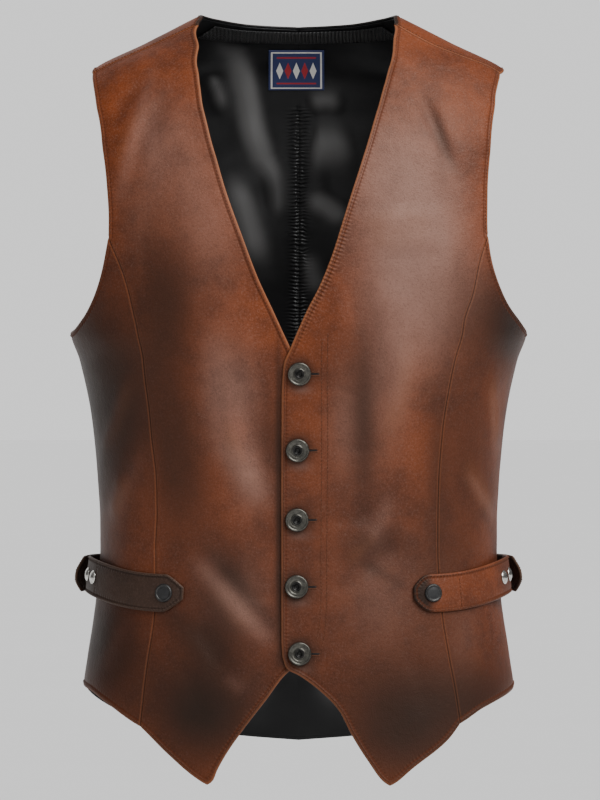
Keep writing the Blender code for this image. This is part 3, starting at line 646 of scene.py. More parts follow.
def away_from(points, line):
    """Return each point's distance from a line, and the length run along it, in millimetres."""
    flat = points.reshape(-1, points.shape[-1])
    start = line[:-1]
    step = np.diff(line, axis=0)
    length = np.linalg.norm(step, axis=1)
    run = np.concatenate([[0], np.cumsum(length)[:-1]])
    distance = np.empty(len(flat))
    place = np.empty(len(flat))
    for part in np.array_split(np.arange(len(flat)), len(flat) // AT_A_TIME + 1):
        gap = flat[part, None] - start[None]
        t = np.clip((gap * step).sum(axis=-1) / length**2, 0, 1)
        off = np.linalg.norm(gap - t[..., None] * step, axis=-1)
        best = off.argmin(axis=1)
        rows = np.arange(len(part))
        distance[part] = off[rows, best]
        place[part] = run[best] + t[rows, best] * length[best]
    shape = points.shape[:-1]
    return distance.reshape(shape), place.reshape(shape)


def nearest_line(points, lines):
    """Return the distance from the nearest of several lines and the length run along it."""
    distance = np.full(points.shape[:-1], np.inf)
    place = np.zeros(points.shape[:-1])
    for line in lines:
        off, run = away_from(points, line)
        closer = off < distance
        distance = np.where(closer, off, distance)
        place = np.where(closer, run, place)
    return distance, place


def rounding(distance):
    """Return how far a rounded edge falls away at a distance from it, from nothing to minus its radius."""
    inside = np.clip(EDGE_RADIUS - distance, 0, EDGE_RADIUS)
    return np.sqrt(EDGE_RADIUS**2 - inside**2) - EDGE_RADIUS


def turned_edge(distance):
    """Return the height of the cloth's face beside a turned and stitched edge."""
    return EDGE_DEPTH * rounding(distance) + bumps(distance, EDGE_ROLL, EDGE_GROOVE)


def seam_edge(distance):
    """Return the height of the cloth's face beside a seam."""
    return bumps(distance, SEAM_ROLL, SEAM_CLEFT)


def uneven(points):
    """Return a small unevenness of the hide, from waves in several directions."""
    draw = np.random.default_rng(7)
    total = np.zeros(points.shape[:-1])
    for length in UNEVEN_WAVES:
        direction = draw.normal(size=3)
        direction /= np.linalg.norm(direction)
        total += np.sin(points @ direction * (2 * math.pi / length) + draw.uniform(0, 6.28)) * length
    return total / sum(UNEVEN_WAVES)


def grid_index(points):
    """Return the numbers of a grid's points, and the four numbers of each of its faces."""
    rows, columns = points.shape[:2]
    index = np.arange(rows * columns).reshape(rows, columns)
    quads = np.stack([index[:-1, :-1], index[:-1, 1:], index[1:, 1:], index[1:, :-1]], axis=-1)
    return index, quads.reshape(-1, 4)


def skin_of(points):
    """Return a search tree over a grid of points, in millimetres."""
    return BVHTree.FromPolygons(points.reshape(-1, 3).tolist(), grid_index(points)[1].tolist())


def add_mesh(name, points, faces, looks, chosen=None, smooth=True):
    """Put a mesh of points in millimetres in the scene, as a piece that rides on the vest's body."""
    mesh = bpy.data.meshes.new(name)
    mesh.from_pydata((np.asarray(points) * MM).tolist(), [], faces)
    for look in looks:
        mesh.materials.append(look)
    if chosen is not None:
        mesh.polygons.foreach_set("material_index", np.array(chosen, np.int32))
    if smooth:
        mesh.shade_smooth()
    piece = bpy.data.objects.new(name, mesh)
    bpy.context.scene.collection.objects.link(piece)
    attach(piece, "root")
    return piece


def stand_for(piece, node):
    """Hide the CAD node that a piece takes the place of."""
    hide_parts(node)


def add_shell(name, outer, inner, values, looks, inside=None):
    """Loft a closed cloth wall between two grids in millimetres, with a value for each point."""
    index, quads = grid_index(outer)
    count = index.size
    rim = np.concatenate([index[0, :-1], index[:-1, -1], index[-1, :0:-1], index[:0:-1, 0]])
    ahead = np.roll(rim, -1)
    band = np.stack([rim, rim + count, ahead + count, ahead], axis=-1)
    faces = np.concatenate([quads, quads[:, ::-1] + count, band])
    a, b, _, d = outer.reshape(-1, 3)[quads[len(quads) // 2]]
    outward = (outer - inner).reshape(-1, 3)[quads[len(quads) // 2][0]]
    if np.cross(b - a, d - a) @ outward < 0:
        faces = faces[:, ::-1]
    chosen = np.zeros(len(faces), np.int32)
    if inside is not None:
        chosen[len(quads):2 * len(quads)] = inside.ravel()[quads[:, 0]]
    points = np.concatenate([outer.reshape(-1, 3), inner.reshape(-1, 3)])
    piece = add_mesh(name, points, faces.tolist(), looks, chosen)
    for key, value in values.items():
        both = np.concatenate([value.ravel(), value.ravel()]).astype(np.float32)
        piece.data.attributes.new(key, "FLOAT", "POINT").data.foreach_set("value", both)
    return piece


class Look:
    """Short calls that build the nodes of one material."""

    def __init__(self, name, **settings):
        self.material = bpy.data.materials.new(name)
        self.material.use_nodes = True
        self.tree = self.material.node_tree
        self.shader = self.tree.nodes["Principled BSDF"]
        self.place = self.tree.nodes.new("ShaderNodeTexCoord").outputs["Object"]
        for key, value in settings.items():
            self.shader.inputs[key.replace("_", " ")].default_value = value

    def add(self, kind, output=0, **inputs):
        """Add a node, set or link its inputs by name, and return one of its outputs."""
        node = self.tree.nodes.new(kind)
        for key, value in inputs.items():
            self.put(value, node.inputs[key.replace("_", " ")])
        return node.outputs[output]

    def put(self, value, socket):
        """Link a node's output to a socket, or set the socket to a plain value."""
        if isinstance(value, bpy.types.NodeSocket):
            self.tree.links.new(value, socket)
        else:
            socket.default_value = value

    def math(self, operation, *values):
        """Return the outcome of an operation on one or two values."""
        node = self.tree.nodes.new("ShaderNodeMath")
        node.operation = operation
        for value, socket in zip(values, node.inputs):
            self.put(value, socket)
        return node.outputs[0]

    def times(self, first, second):
        """Return the product of two values."""
        return self.math("MULTIPLY", first, second)

    def plus(self, first, second):
        """Return the sum of two values."""
        return self.math("ADD", first, second)

    def minus(self, first, second):
        """Return the first value less the second."""
        return self.math("SUBTRACT", first, second)

    def size(self, value):
        """Return a value without its sign."""
        return self.math("ABSOLUTE", value)

    def mix(self, share, first, second):
        """Return a colour between two colours."""
        node = self.tree.nodes.new("ShaderNodeMix")
        node.data_type = "RGBA"
        self.put(share, node.inputs[0])
        self.put(first, node.inputs[6])
        self.put(second, node.inputs[7])
        return node.outputs[2]

    def value(self, name):
        """Return a value that the mesh holds for each point."""
        node = self.tree.nodes.new("ShaderNodeAttribute")
        node.attribute_name = name
        return node.outputs["Fac"]

    def noise(self, scale, detail=2.0, roughness=0.5):
        """Return a cloudy pattern, from 0 to 1, with this many waves to the metre."""
        kind = "ShaderNodeTexNoise"
        return self.add(kind, Vector=self.place, Scale=scale, Detail=detail, Roughness=roughness)

    def share(self, value, low, high):
        """Return how far a value lies from low to high, smoothly and held from 0 to 1."""
        node = self.tree.nodes.new("ShaderNodeMapRange")
        node.interpolation_type = "SMOOTHSTEP"
        self.put(value, node.inputs["Value"])
        node.inputs["From Min"].default_value = low
        node.inputs["From Max"].default_value = high
        return node.outputs[0]

    def bump(self, height, distance, strength=1.0, normal=None):
        """Return a normal that a height pattern has bent; the distance is its depth in metres."""
        node = self.tree.nodes.new("ShaderNodeBump")
        node.inputs["Strength"].default_value = strength
        node.inputs["Distance"].default_value = distance
        self.put(height, node.inputs["Height"])
        if normal is not None:
            self.put(normal, node.inputs["Normal"])
        return node.outputs[0]

    def paint(self, **inputs):
        """Give the shader its colour, roughness or normal by name, and return the material."""
        for key, value in inputs.items():
            self.put(value, self.shader.inputs[key.replace("_", " ")])
        return self.material


def grain(look, depth):
    """Return the normal of a fine hide grain: cells about a millimetre wide, with pores between them."""
    cells = look.add("ShaderNodeTexVoronoi", Vector=look.place, Scale=780.0)
    pores = look.noise(2600.0, 2.0)
    coarse = look.noise(210.0, 3.0)
    height = look.plus(look.times(cells, 0.8), look.times(pores, 0.3))
    first = look.bump(height, depth)
    return look.bump(coarse, 3 * depth, 0.6, first)


# The tones of a hide: plain; in its hollows, also their painted shade; on its crests, also their painted
# highlight; burnished and in painted shade; worn at the edges; and grey, for painted sheen and rubbed wear
Tones = namedtuple("Tones", "hide deep pale burnt worn bloom")
BROWN = Tones(
    hide=(0.165, 0.034, 0.0065, 1.0),
    deep=(0.060, 0.0125, 0.0035, 1.0),
    pale=(0.230, 0.072, 0.022, 1.0),
    burnt=(0.0085, 0.0040, 0.0028, 1.0),
    worn=(0.270, 0.098, 0.040, 1.0),
    bloom=(0.222, 0.126, 0.100, 1.0),
)
DARK_BROWN = Tones(
    hide=(0.035, 0.018, 0.012, 1.0),
    deep=(0.018, 0.010, 0.008, 1.0),
    pale=(0.075, 0.040, 0.026, 1.0),
    burnt=(0.012, 0.008, 0.006, 1.0),
    worn=(0.150, 0.080, 0.048, 1.0),
    bloom=(0.090, 0.060, 0.050, 1.0),
)
PUCKER_PITCH = 3.4
PUCKER_DEPTH = 0.00034
GRAIN_DEPTH = 0.00016


def leather(name, tones):
    """Return burnished leather: painted shade in its creases, a painted highlight on its crests, greyed by
    painted sheen and rubbed wear, worn along its edges.
    """
    hide, deep, pale, burnt, worn, bloom = tones
    look = Look(name, Specular_IOR_Level=0.30, Specular_Tint=(1.0, 0.80, 0.68, 1.0))
    crest = look.value("crest")
    trim = look.value("trim")
    dark = look.value("burnish_and_shade")
    clouds = look.plus(look.noise(13.0, 4.0, 0.6), look.times(look.noise(60.0, 4.0, 0.6), 0.45))
    colour = look.mix(look.share(clouds, 0.42, 0.95), deep, hide)
    # Painted highlight: the crests of the folds lean towards the pale tone; painted shade: their hollows lean
    # towards the deep tone
    colour = look.mix(look.times(look.share(crest, 0.1, 1.0), 0.35), colour, pale)
    hollow = look.share(look.minus(0.0, crest), 0.1, 1.0)
    colour = look.mix(look.times(hollow, 0.45), colour, deep)
    # Painted sheen: greyer patches and streaks that stand for highlights, with rubbed wear below the buttons
    sheen_and_wear_mask = look.times(look.value("bloom"), look.plus(0.35, look.times(clouds, 0.8)))
    colour = look.mix(look.share(sheen_and_wear_mask, 0.0, 1.15), colour, bloom)
    # Fine grain specks of the hide, pale in the grey tone and dark in the darkest tone
    speck = look.noise(620.0, 3.0, 0.75)
    colour = look.mix(look.times(look.share(speck, 0.48, 0.72), 0.28), colour, bloom)
    colour = look.mix(look.times(look.share(speck, 0.50, 0.30), 0.30), colour, burnt)
    # Darker patches and streaks: partly burnish of the leather, partly painted shade
    shade_and_burnish_share = look.times(dark, look.plus(0.72, look.times(clouds, 0.4)))
    colour = look.mix(look.share(shade_and_burnish_share, 0.0, 1.05), colour, burnt)
    groove = look.share(look.size(look.minus(trim, STITCH_INSET)), 1.3, 0.2)
    colour = look.mix(look.times(groove, 0.60), colour, deep)
    left_on = look.minus(0.70, look.times(dark, 0.66))
    wear = look.times(look.share(trim, 2.4, 0.4), left_on)
    colour = look.mix(wear, colour, worn)
    seam = look.value("seam")
    bare = look.minus(1.0, look.times(dark, 0.75))
    ridge = look.share(look.size(look.minus(seam, 1.2)), 0.8, 0.0)
    colour = look.mix(look.times(ridge, look.times(bare, 0.40)), colour, pale)
    cleft = look.share(seam, 0.7, 0.1)
    colour = look.mix(look.times(cleft, 0.5), colour, burnt)
    ripple = look.math("SINE", look.times(look.value("run"), 2 * math.pi / PUCKER_PITCH))
    near = look.share(look.size(look.minus(trim, STITCH_INSET + 0.6)), 3.0, 0.0)
    long_tuck = look.times(look.share(trim, 11.0, 3.0), look.value("tuck"))
    pucker = look.times(ripple, look.plus(look.times(near, 0.45), long_tuck))
    # Painted highlight on the crests of the puckers beside the stitches
    colour = look.mix(look.times(look.share(pucker, 0.1, 1.0), 0.26), colour, pale)
    gloss = look.plus(0.44, look.times(look.noise(38.0, 3.0), 0.16))
    gloss = look.plus(gloss, look.times(look.math("MAXIMUM", groove, cleft), 0.3))
    normal = look.bump(pucker, PUCKER_DEPTH, 0.8, grain(look, GRAIN_DEPTH))
    return look.paint(Base_Color=colour, Roughness=gloss, Normal=normal)


GATHER_PITCH = 0.0033


def satin(name):
    """Return black satin with painted sheen: greyer along its folds and on the ribs where it is gathered."""
    look = Look(name, Specular_IOR_Level=0.24)
    height = look.add("ShaderNodeSeparateXYZ", 2, Vector=look.place)
    turn = look.times(height, 2 * math.pi / GATHER_PITCH)
    turn = look.plus(turn, look.times(look.noise(75.0, 2.0), 13.0))
    gathered = look.times(look.math("SINE", turn), look.value("gather"))
    tips = look.plus(gathered, look.value("ribs"))
    fold = look.plus(look.value("fold"), look.times(look.noise(26.0, 3.0), 0.25))
    colour = look.mix(look.noise(90.0, 3.0), (0.0035, 0.0035, 0.004, 1.0), (0.008, 0.008, 0.0085, 1.0))
    # Painted sheen: greyer along the crests of the folds and on the tops of the gathered ribs
    colour = look.mix(look.share(fold, 0.05, 1.35), colour, (0.110, 0.108, 0.107, 1.0))
    colour = look.mix(look.share(tips, 0.3, 1.2), colour, (0.022, 0.021, 0.020, 1.0))
    gloss = look.plus(0.26, look.times(look.noise(24.0, 2.0), 0.14))
    ripples = look.bump(tips, 0.0006, 0.6, look.bump(look.noise(160.0, 3.0), 0.0002, 0.4))
    return look.paint(Base_Color=colour, Roughness=gloss, Normal=ripples)


def thread(name, light, dark):
    """Return waxed thread in two close tones."""
    look = Look(name, Roughness=0.65, Specular_IOR_Level=0.25)
    colour = look.mix(look.noise(700.0, 2.0), dark, light)
    return look.paint(Base_Color=colour, Normal=look.bump(look.noise(5200.0, 1.0), 0.00008))


def metal(name, bright, dark, roughness, metallic=0.95):
    """Return metal with a cloudy patina and fine scratches."""
    look = Look(name, Metallic=metallic)
    patina = look.plus(look.noise(300.0, 4.0, 0.65), look.times(look.noise(1500.0, 2.0), 0.3))
    colour = look.mix(look.share(patina, 0.4, 0.9), dark, bright)
    gloss = look.plus(roughness, look.times(look.noise(900.0, 2.0), 0.12))
    normal = look.bump(look.noise(2200.0, 3.0), 0.00004, 0.6)
    return look.paint(Base_Color=colour, Roughness=gloss, Normal=normal)


def woven_label(name):
    """Return the label: a navy ground, a pale frame and a row of plain lozenges in red and white."""
    look = Look(name, Roughness=0.62)
    navy = (0.010, 0.020, 0.085, 1.0)
    white = (0.62, 0.60, 0.57, 1.0)
    red = (0.30, 0.012, 0.022, 1.0)
    across = look.value("across")
    down = look.size(look.value("down"))
    weave = look.noise(2400.0, 1.0)
    colour = look.mix(look.times(weave, 0.35), navy, (0.03, 0.04, 0.12, 1.0))
    rim = look.math("MAXIMUM", look.size(across), down)
    frame_line = look.times(look.share(rim, 0.85, 0.87), look.share(rim, 0.93, 0.91))
    colour = look.mix(frame_line, colour, white)
    bar = look.times(look.share(down, 0.60, 0.62), look.share(down, 0.70, 0.68))
    bar = look.times(bar, look.share(look.size(across), 0.72, 0.70))
    colour = look.mix(bar, colour, red)
    for number, middle in enumerate((-0.6, -0.3, 0.0, 0.3, 0.6)):
        wide = look.size(look.math("DIVIDE", look.minus(across, middle), 0.13))
        lozenge = look.share(look.plus(wide, look.math("DIVIDE", down, 0.44)), 1.0, 0.94)
        colour = look.mix(lozenge, colour, white if number % 2 == 0 else red)
    return look.paint(Base_Color=colour, Normal=look.bump(weave, 0.0001))


# Darker patches of the hide, partly burnish and partly painted shade as on the side panels and under the
# arms: how strong, how wide and tall, and where their middle lies
Patch = namedtuple("Patch", "face strength wide tall out height")
BURNISH_AND_SHADE_PATCHES = rows_of(Patch, [
    (0.97, 48, 110, -190, -350), (0.65, 36, 70, -152, -320), (0.90, 48, 66, -174, -530),
    (0.40, 30, 60, -112, -250), (0.15, 8, 34, -118, -70), (0.22, 26, 50, -140, -145),
    (0.40, 150, 190, 50, -490), (0.20, 8, 26, -146, -40), (0.35, 8, 44, 124, -92), (0.50, 26, 80, -94, -375),
    (0.94, 60, 56, -84, -585), (0.60, 30, 70, -190, -275), (0.55, 40, 60, -118, -215),
    (0.55, 36, 60, -70, -500), (0.30, 60, 22, -120, -640), (0.85, 26, 46, 188, -252),
    (0.45, 42, 50, 158, -238), (0.50, 34, 95, 150, -350), (0.80, 70, 66, 92, -598), (0.35, 40, 30, 168, -560),
    (0.35, 34, 70, 130, -470), (0.55, 60, 30, 160, -585), (0.30, 26, 60, 46, -290),
    (0.40, 18, 85, -112, -360), (0.55, 12, 80, 57, -338), (0.45, 12, 40, -26, -350),
    (0.40, 20, 16, -62, -468), (0.40, 26, 14, 66, -440), (0.30, 10, 85, 121, -377),
], FRONT) + rows_of(Patch, [
    (0.85, 45, 110, -180, -330), (0.60, 50, 70, -130, -560), (0.60, 40, 90, 180, -320),
    (0.50, 70, 55, 70, -600), (0.35, 30, 90, -30, -260), (0.35, 45, 60, 95, -430), (0.30, 60, 34, 20, -60),
], BACK)
# Patches of painted sheen, where the hide is painted greyer as a highlight
SHEEN_AND_WEAR_PATCHES = rows_of(Patch, [
    (0.20, 210, 150, 0, -430), (0.34, 30, 90, 128, -190), (0.38, 24, 50, 114, -252),
    (0.25, 20, 40, 158, -220), (0.35, 26, 50, -116, -82), (0.35, 26, 60, -138, -150),
    (0.32, 24, 60, -94, -118), (0.30, 26, 60, 66, -330), (0.45, 36, 75, -73, -172), (0.30, 10, 30, -128, -92),
    (0.55, 27, 48, -55, -307), (0.45, 18, 35, -42, -380), (0.45, 30, 35, -55, -490),
    (0.30, 12, 52, -164, -429), (0.72, 52, 60, 88, -118), (0.96, 46, 80, 94, -188), (0.50, 18, 60, 84, -272),
    (0.40, 16, 52, 40, -333), (0.40, 34, 50, 71, -490), (0.30, 16, 45, 146, -520),
], FRONT) + rows_of(Patch, [
    (0.20, 210, 170, 0, -420), (0.70, 46, 70, -86, -150), (0.60, 42, 66, 82, -170), (0.45, 30, 60, -60, -400),
    (0.40, 26, 60, 66, -360), (0.45, 40, 46, 46, -520),
], BACK)
# Streaks that follow the creases, painted highlight along them and painted shade beside them: how strong, how
# wide, and the places they run through
Streak = namedtuple("Streak", "face strength reach path")
PAINTED_SHEEN_STREAKS = rows_of(Streak, [
    (0.60, 10, ((-88, -457), (-67, -480), (-47, -504), (-23, -525))),
    (0.40, 8, ((-64, -557), (-47, -569))),
    (0.28, 8, ((-149, -299), (-169, -359))),
    (0.28, 8, ((-139, -364), (-167, -429))),
    (0.28, 9, ((-155, -514), (-172, -553))),
    (0.50, 12, ((-68, -351), (-29, -403))),
    (0.35, 15, ((-76, -258), (-68, -351))),
    (0.28, 8, ((80, -398), (65, -445))),
    (0.35, 3, ((168, -305), (172, -367))),
    (0.35, 5, ((147, -380), (173, -422))),
    (0.30, 7, ((-128, -22), (-158, -142))),
    (0.30, 7, ((112, -130), (128, -205))),
], FRONT) + rows_of(Streak, [
    (0.40, 9, ((96, -470), (62, -512), (24, -530))),
    (0.35, 9, ((-150, -300), (-166, -372))),
    (0.35, 10, ((128, -36), (150, -140))),
    (0.35, 12, ((-40, -420), (-84, -462))),
], BACK)
# Streaks of painted shade beside the creases
PAINTED_SHADE_STREAKS = rows_of(Streak, [
    (0.42, 8, ((-83, -444), (-16, -520))),
    (0.45, 14, ((-121, -495), (-68, -545))),
    (0.18, 6, ((-115, -22), (-135, -93))),
    (0.40, 5, ((111, -42), (125, -80), (139, -122))),
    (0.45, 6, ((-161, -305), (-171, -367))),
    (0.35, 6, ((52, -455), (92, -478))),
    # A painted shadow on the right front along the left front's edge
    (0.60, 3, ((-17.5, -255), (-17.5, -400), (-16.5, -545))),
], FRONT) + rows_of(Streak, [
    (0.40, 9, ((84, -452), (20, -512))),
    (0.40, 12, ((-118, -488), (-70, -540))),
    (0.35, 7, ((-120, -30), (-140, -110))),
], BACK)
# Each button has rubbed the hide below it, and a ring of painted shadow darkens the hide round its rim
SHEEN_AND_WEAR_PATCHES += [Patch(FRONT, 0.55, 9, 4.5, button.out + 2, button.height - 13.5) for button in BUTTONS]
BURNISH_AND_SHADE_PATCHES += [Patch(FRONT, 1.00, 13.0, 13.0, button.out, button.height) for button in BUTTONS]
FACE_TURN = 60.0


def patchwork(points, patches):
    """Return how strongly a set of patches shows at each point, from 0 to 1."""
    front = ease(0.5 - points[..., 1] / FACE_TURN)
    clear = np.ones(points.shape[:-1])
    for patch in patches:
        facing = front if patch.face == FRONT else 1 - front
        across = (points[..., 0] - patch.out) / patch.wide
        upward = (points[..., 2] - patch.height) / patch.tall
        clear *= 1 - patch.strength * facing * np.exp(-(across**2) - upward**2)
    return 1 - clear


# The share of a streak's strength that is left at its ends
STREAK_END_SHARE = 0.35


def streaks(points, table):
    """Return how strongly a set of streaks shows at each point, from 0 to 1."""
    front = ease(0.5 - points[..., 1] / FACE_TURN)
    flat = points[..., [0, 2]]
    clear = np.ones(points.shape[:-1])
    for streak in table:
        facing = front if streak.face == FRONT else 1 - front
        knots = np.array(streak.path, float)
        off, run = away_from(flat, knots)
        share = run / run_along(knots)[-1]
        middle = np.sqrt(np.clip(4 * share * (1 - share), 0, 1))
        fade = STREAK_END_SHARE + (1 - STREAK_END_SHARE) * middle
        clear *= 1 - streak.strength * facing * fade * bell(off, streak.reach)
    return 1 - clear


def joined(first, second):
    """Return the share that two shares make together, from 0 to 1."""
    return 1 - (1 - first) * (1 - second)


# How far the black dye of a bound edge reaches, and how strong it is
BINDING_REACH = 3.2
BINDING_STRENGTH = 1.3
# How far a streak of painted sheen takes off the burnish and the painted shade
SHEEN_LIFT = 0.6
# The left neckline is tucked in by its stitches, most of all at this height, and between these widths
TUCK = 0.9
TUCK_HEIGHT = -205.0
TUCK_SPAN = 60.0
TUCK_INNER = 0.0
TUCK_OUTER = 80.0


def tucks(points):
    """Return how strongly the stitches pucker the hide at each point."""
    out, back, height = np.moveaxis(points, -1, 0)
    tucked = (out > TUCK_INNER) & (out < TUCK_OUTER) & (back < 0)
    return TUCK * bell(height - TUCK_HEIGHT, TUCK_SPAN) * tucked


def dress_panel(name, side, places, rolls, seams, looks, drop=0.0, binding=(), facing=FACING_BAND):
    """Make one leather panel over its CAD node, with turned edges along rolls and grooves along seams.

    The hide beside the binding lines is dyed black. Return the search tree of the panel's face.
    """
    flat, normal = plain_skin(places, side)
    folds = relief(flat, FOLD_AXES)
    trim, run = nearest_line(flat, rolls)
    seam, _ = nearest_line(flat, seams)
    lift = folds + UNEVEN_DEPTH * uneven(flat) - drop
    face = np.maximum(turned_edge(trim) + seam_edge(seam), DEEPEST_FACE)
    outer = flat + normal * (lift + face)[..., None]
    inner = flat + normal * (lift - WALL - EDGE_DEPTH * rounding(trim))[..., None]
    # Streaks of painted sheen, and darker patches and streaks that are partly burnish and partly painted
    # shade
    worn = streaks(flat, PAINTED_SHEEN_STREAKS)
    burnt = joined(patchwork(flat, BURNISH_AND_SHADE_PATCHES), streaks(flat, PAINTED_SHADE_STREAKS))
    values = {
        "trim": np.minimum(trim, FAR_OFF),
        "run": run,
        "seam": np.minimum(seam, FAR_OFF),
        "crest": np.clip(folds / FULL_CREST, -1, 1),
        "burnish_and_shade": burnt * (1 - SHEEN_LIFT * worn),
        "bloom": joined(patchwork(flat, SHEEN_AND_WEAR_PATCHES), worn),
        "tuck": tucks(flat),
    }
    if binding:
        dyed = BINDING_STRENGTH * bell(nearest_line(flat, binding)[0], BINDING_REACH)
        values["burnish_and_shade"] = np.maximum(values["burnish_and_shade"], np.minimum(dyed, 1.0))
    lined = (trim >= facing).astype(np.int32)
    stand_for(add_shell(f"{name}_leather", outer, inner, values, looks, lined), name)
    return skin_of(outer)


def dress_fronts(looks):
    """Dress both centre fronts; the right one sinks in where the left one lies over it."""
    panels = {}
    for side in (LEFT, RIGHT):
        places = front_places(side)
        drop = 0.0
        if side == RIGHT:
            flat = plain_form(places[..., 0], places[..., 1], side)
            near = ease((flat[..., 0] + LAP_START) / (LAP_START - LAP_FULL))
            drop = (WALL + LAP_GAP) * near * ease((LAP_TOP - flat[..., 2]) / LAP_RISE)
        rolls = front_rolls(side)
        seams = [line_points(edge_places(table, side), side) for table in (PRINCESS_SEAM, SHOULDER_SEAM)]
        name = f"front_{SIDE_NAMES[side]}"
        panels[side] = dress_panel(name, side, places, rolls, seams, looks, drop)
    return panels


def front_rolls(side):
    """Return the turned edges of a centre front: its opening, its hem and its armhole."""
    pairs = ((FRONT_EDGE, NECKLINE), (CUTAWAY, HEM_INNER))
    lines = [
        np.concatenate([line_points(edge_places(a, side), side), line_points(edge_places(b, side), side)[1:]])
        for a, b in pairs
    ]
    return lines + [line_points(edge_places(ARMHOLE_UPPER, side), side)]


def side_rolls(side):
    """Return the turned edges of a side front: its hem and its armhole."""
    hem = np.concatenate([edge_places(HEM_OUTER, side), [(SIDE_SEAM_ANGLE, SIDE_HEM_HEIGHT)]])
    armhole = np.concatenate([edge_places(ARMHOLE_LOWER, side), [(SIDE_SEAM_ANGLE, UNDERARM_HEIGHT)]])
    return [line_points(hem, side), line_points(armhole, side)]


def dress_sides(looks):
    """Dress both side fronts."""
    panels = {}
    for side in (LEFT, RIGHT):
        side_seam = [(SIDE_SEAM_ANGLE, SIDE_HEM_HEIGHT), (SIDE_SEAM_ANGLE, UNDERARM_HEIGHT)]
        seams = [line_points(edge_places(PRINCESS_SEAM, side), side), line_points(side_seam, side)]
        name = f"side_{SIDE_NAMES[side]}"
        panels[side] = dress_panel(name, side, side_places(side), side_rolls(side), seams, looks)
    return panels


def back_rolls(side):
    """Return the turned edges of a back: its hem, its neck and its armhole."""
    _, _, neck, _, armhole, _ = back_lines(side)
    return [line_points(BACK_HEM, side), line_points(neck, side), line_points(armhole, side)]


def dress_backs(looks):
    """Dress both backs."""
    panels = {}
    for side in (LEFT, RIGHT):
        lower, upper, _, side_seam, _, shoulder = back_lines(side)
        seams = [line_points(line, side) for line in (lower, upper, side_seam, shoulder)]
        name = f"back_{SIDE_NAMES[side]}"
        places = back_places(side, BACK_STEP)
        rolls = back_rolls(side)
        panels[side] = dress_panel(name, side, places, rolls, seams, looks, binding=rolls[:2], facing=0.0)
    return panels


# The lining stops this many grid points from the cut edges, and is gathered along the centre back
LINING_MARGIN = 6
GATHER_REACH = 7.0
GATHER_BULGE = 0.8
GATHER_TOP = -46.0
GATHER_BOTTOM = -390.0
GATHER_TOP_SPAN = 12.0
GATHER_BOTTOM_SPAN = 60.0
GATHER_SEAM_REACH = 1.5
FOLD_HEIGHT = 3.4
# The satin's folds fade out towards its neck edge, its other edges and the centre back
Fade = namedtuple("Fade", "start span")
NECK_FADE = Fade(12.0, 14.0)
RIM_FADE = Fade(4.0, 16.0)
CENTRE_HOLD = 0.8
CENTRE_REACH = 4.0


def lining_places(side):
    """Return the grid of a lining: a back's grid, drawn in from the neck, the armhole and the hem."""
    places = back_places(side, BACK_STEP)
    rows, columns = places.shape[:2]
    up = graded(BACK_SIZE[1], BACK_STEP, [WAIST_CORNER, NECK_CORNER])
    neck_row = np.argmin(np.abs(up - NECK_CORNER))
    first = LINING_MARGIN * ease((np.arange(rows) - neck_row + 2 * LINING_MARGIN) / (2 * LINING_MARGIN))
    even = np.arange(columns - LINING_MARGIN, dtype=float) / (columns - LINING_MARGIN - 1)
    inset = [
        at_runs(first[r] + even * (columns - 1 - LINING_MARGIN - first[r]), np.arange(columns), places[r])
        for r in range(rows)
    ]
    return np.array(inset[LINING_MARGIN:-LINING_MARGIN])


def dress_linings(look):
    """Make the satin inside both backs, folded and gathered along the centre back."""
    for side in (LEFT, RIGHT):
        places = lining_places(side)
        height = places[..., 1]
        flat, normal = plain_skin(places, side)
        lower, upper, neck, side_seam, armhole, _ = back_lines(side)
        neck_off, _ = nearest_line(flat, [line_points(neck, side)])
        edge_off, _ = nearest_line(flat, [line_points(line, side) for line in (BACK_HEM, armhole, side_seam)])
        centre_off, _ = nearest_line(flat, [line_points(lower, side), line_points(upper, side)])
        calm = ease((neck_off - NECK_FADE.start) / NECK_FADE.span)
        calm = calm * ease((edge_off - RIM_FADE.start) / RIM_FADE.span)
        rise = relief(flat, LINING_AXES) * calm * (1 - CENTRE_HOLD * bell(centre_off, CENTRE_REACH))
        gather = bell(centre_off, GATHER_REACH) * ease((GATHER_TOP - height) / GATHER_TOP_SPAN)
        gather = gather * ease((height - GATHER_BOTTOM) / GATHER_BOTTOM_SPAN)
        bulge = GATHER_BULGE * gather * (1 - bell(centre_off, GATHER_SEAM_REACH))
        lift = relief(flat, FOLD_AXES) + UNEVEN_DEPTH * uneven(flat) - WALL - LAYER_GAP - rise - bulge
        outer = flat + normal * lift[..., None]
        inner = flat + normal * (lift - LINING_WALL)[..., None]
        name = f"lining_{SIDE_NAMES[side]}"
        values = {"fold": rise / FOLD_HEIGHT, "gather": gather, "ribs": np.zeros(rise.shape)}
        stand_for(add_shell(f"{name}_satin", outer, inner, values, [look]), name)


def layer(places, side, out):
    """Return points that lie a distance out from the outer face, or in where it is negative."""
    angle = places[..., 0]
    height = places[..., 1]
    points = cloth_form(angle, height, side)
    normal = normals_by(cloth_form, angle, height, side)
    return points + normal * np.asarray(out)[..., None]


# How deep below the garment's outer face the facing and the label lie
TRIM_DEPTH = WALL + LAYER_GAP + LINING_WALL + LABEL_GAP
FACING_COLUMNS = 330
FACING_ROWS = 13
FACING_BULGE = 0.5
FACING_GREY = 0.12
RIB_PITCH = 3.4
RIB_DEPTH = 0.32
RIB_END_SHARE = 0.35
# How much greyer the tops of the facing's ribs are painted, a painted highlight
RIB_GREY = 1.6
RIB_SWAY = 0.8
RIB_SWAY_LENGTH = 7.0
LABEL_COLUMNS = 72
LABEL_ROWS = 50
LABEL_RIM_SHARE = 0.7
LABEL_PILLOW = 0.3


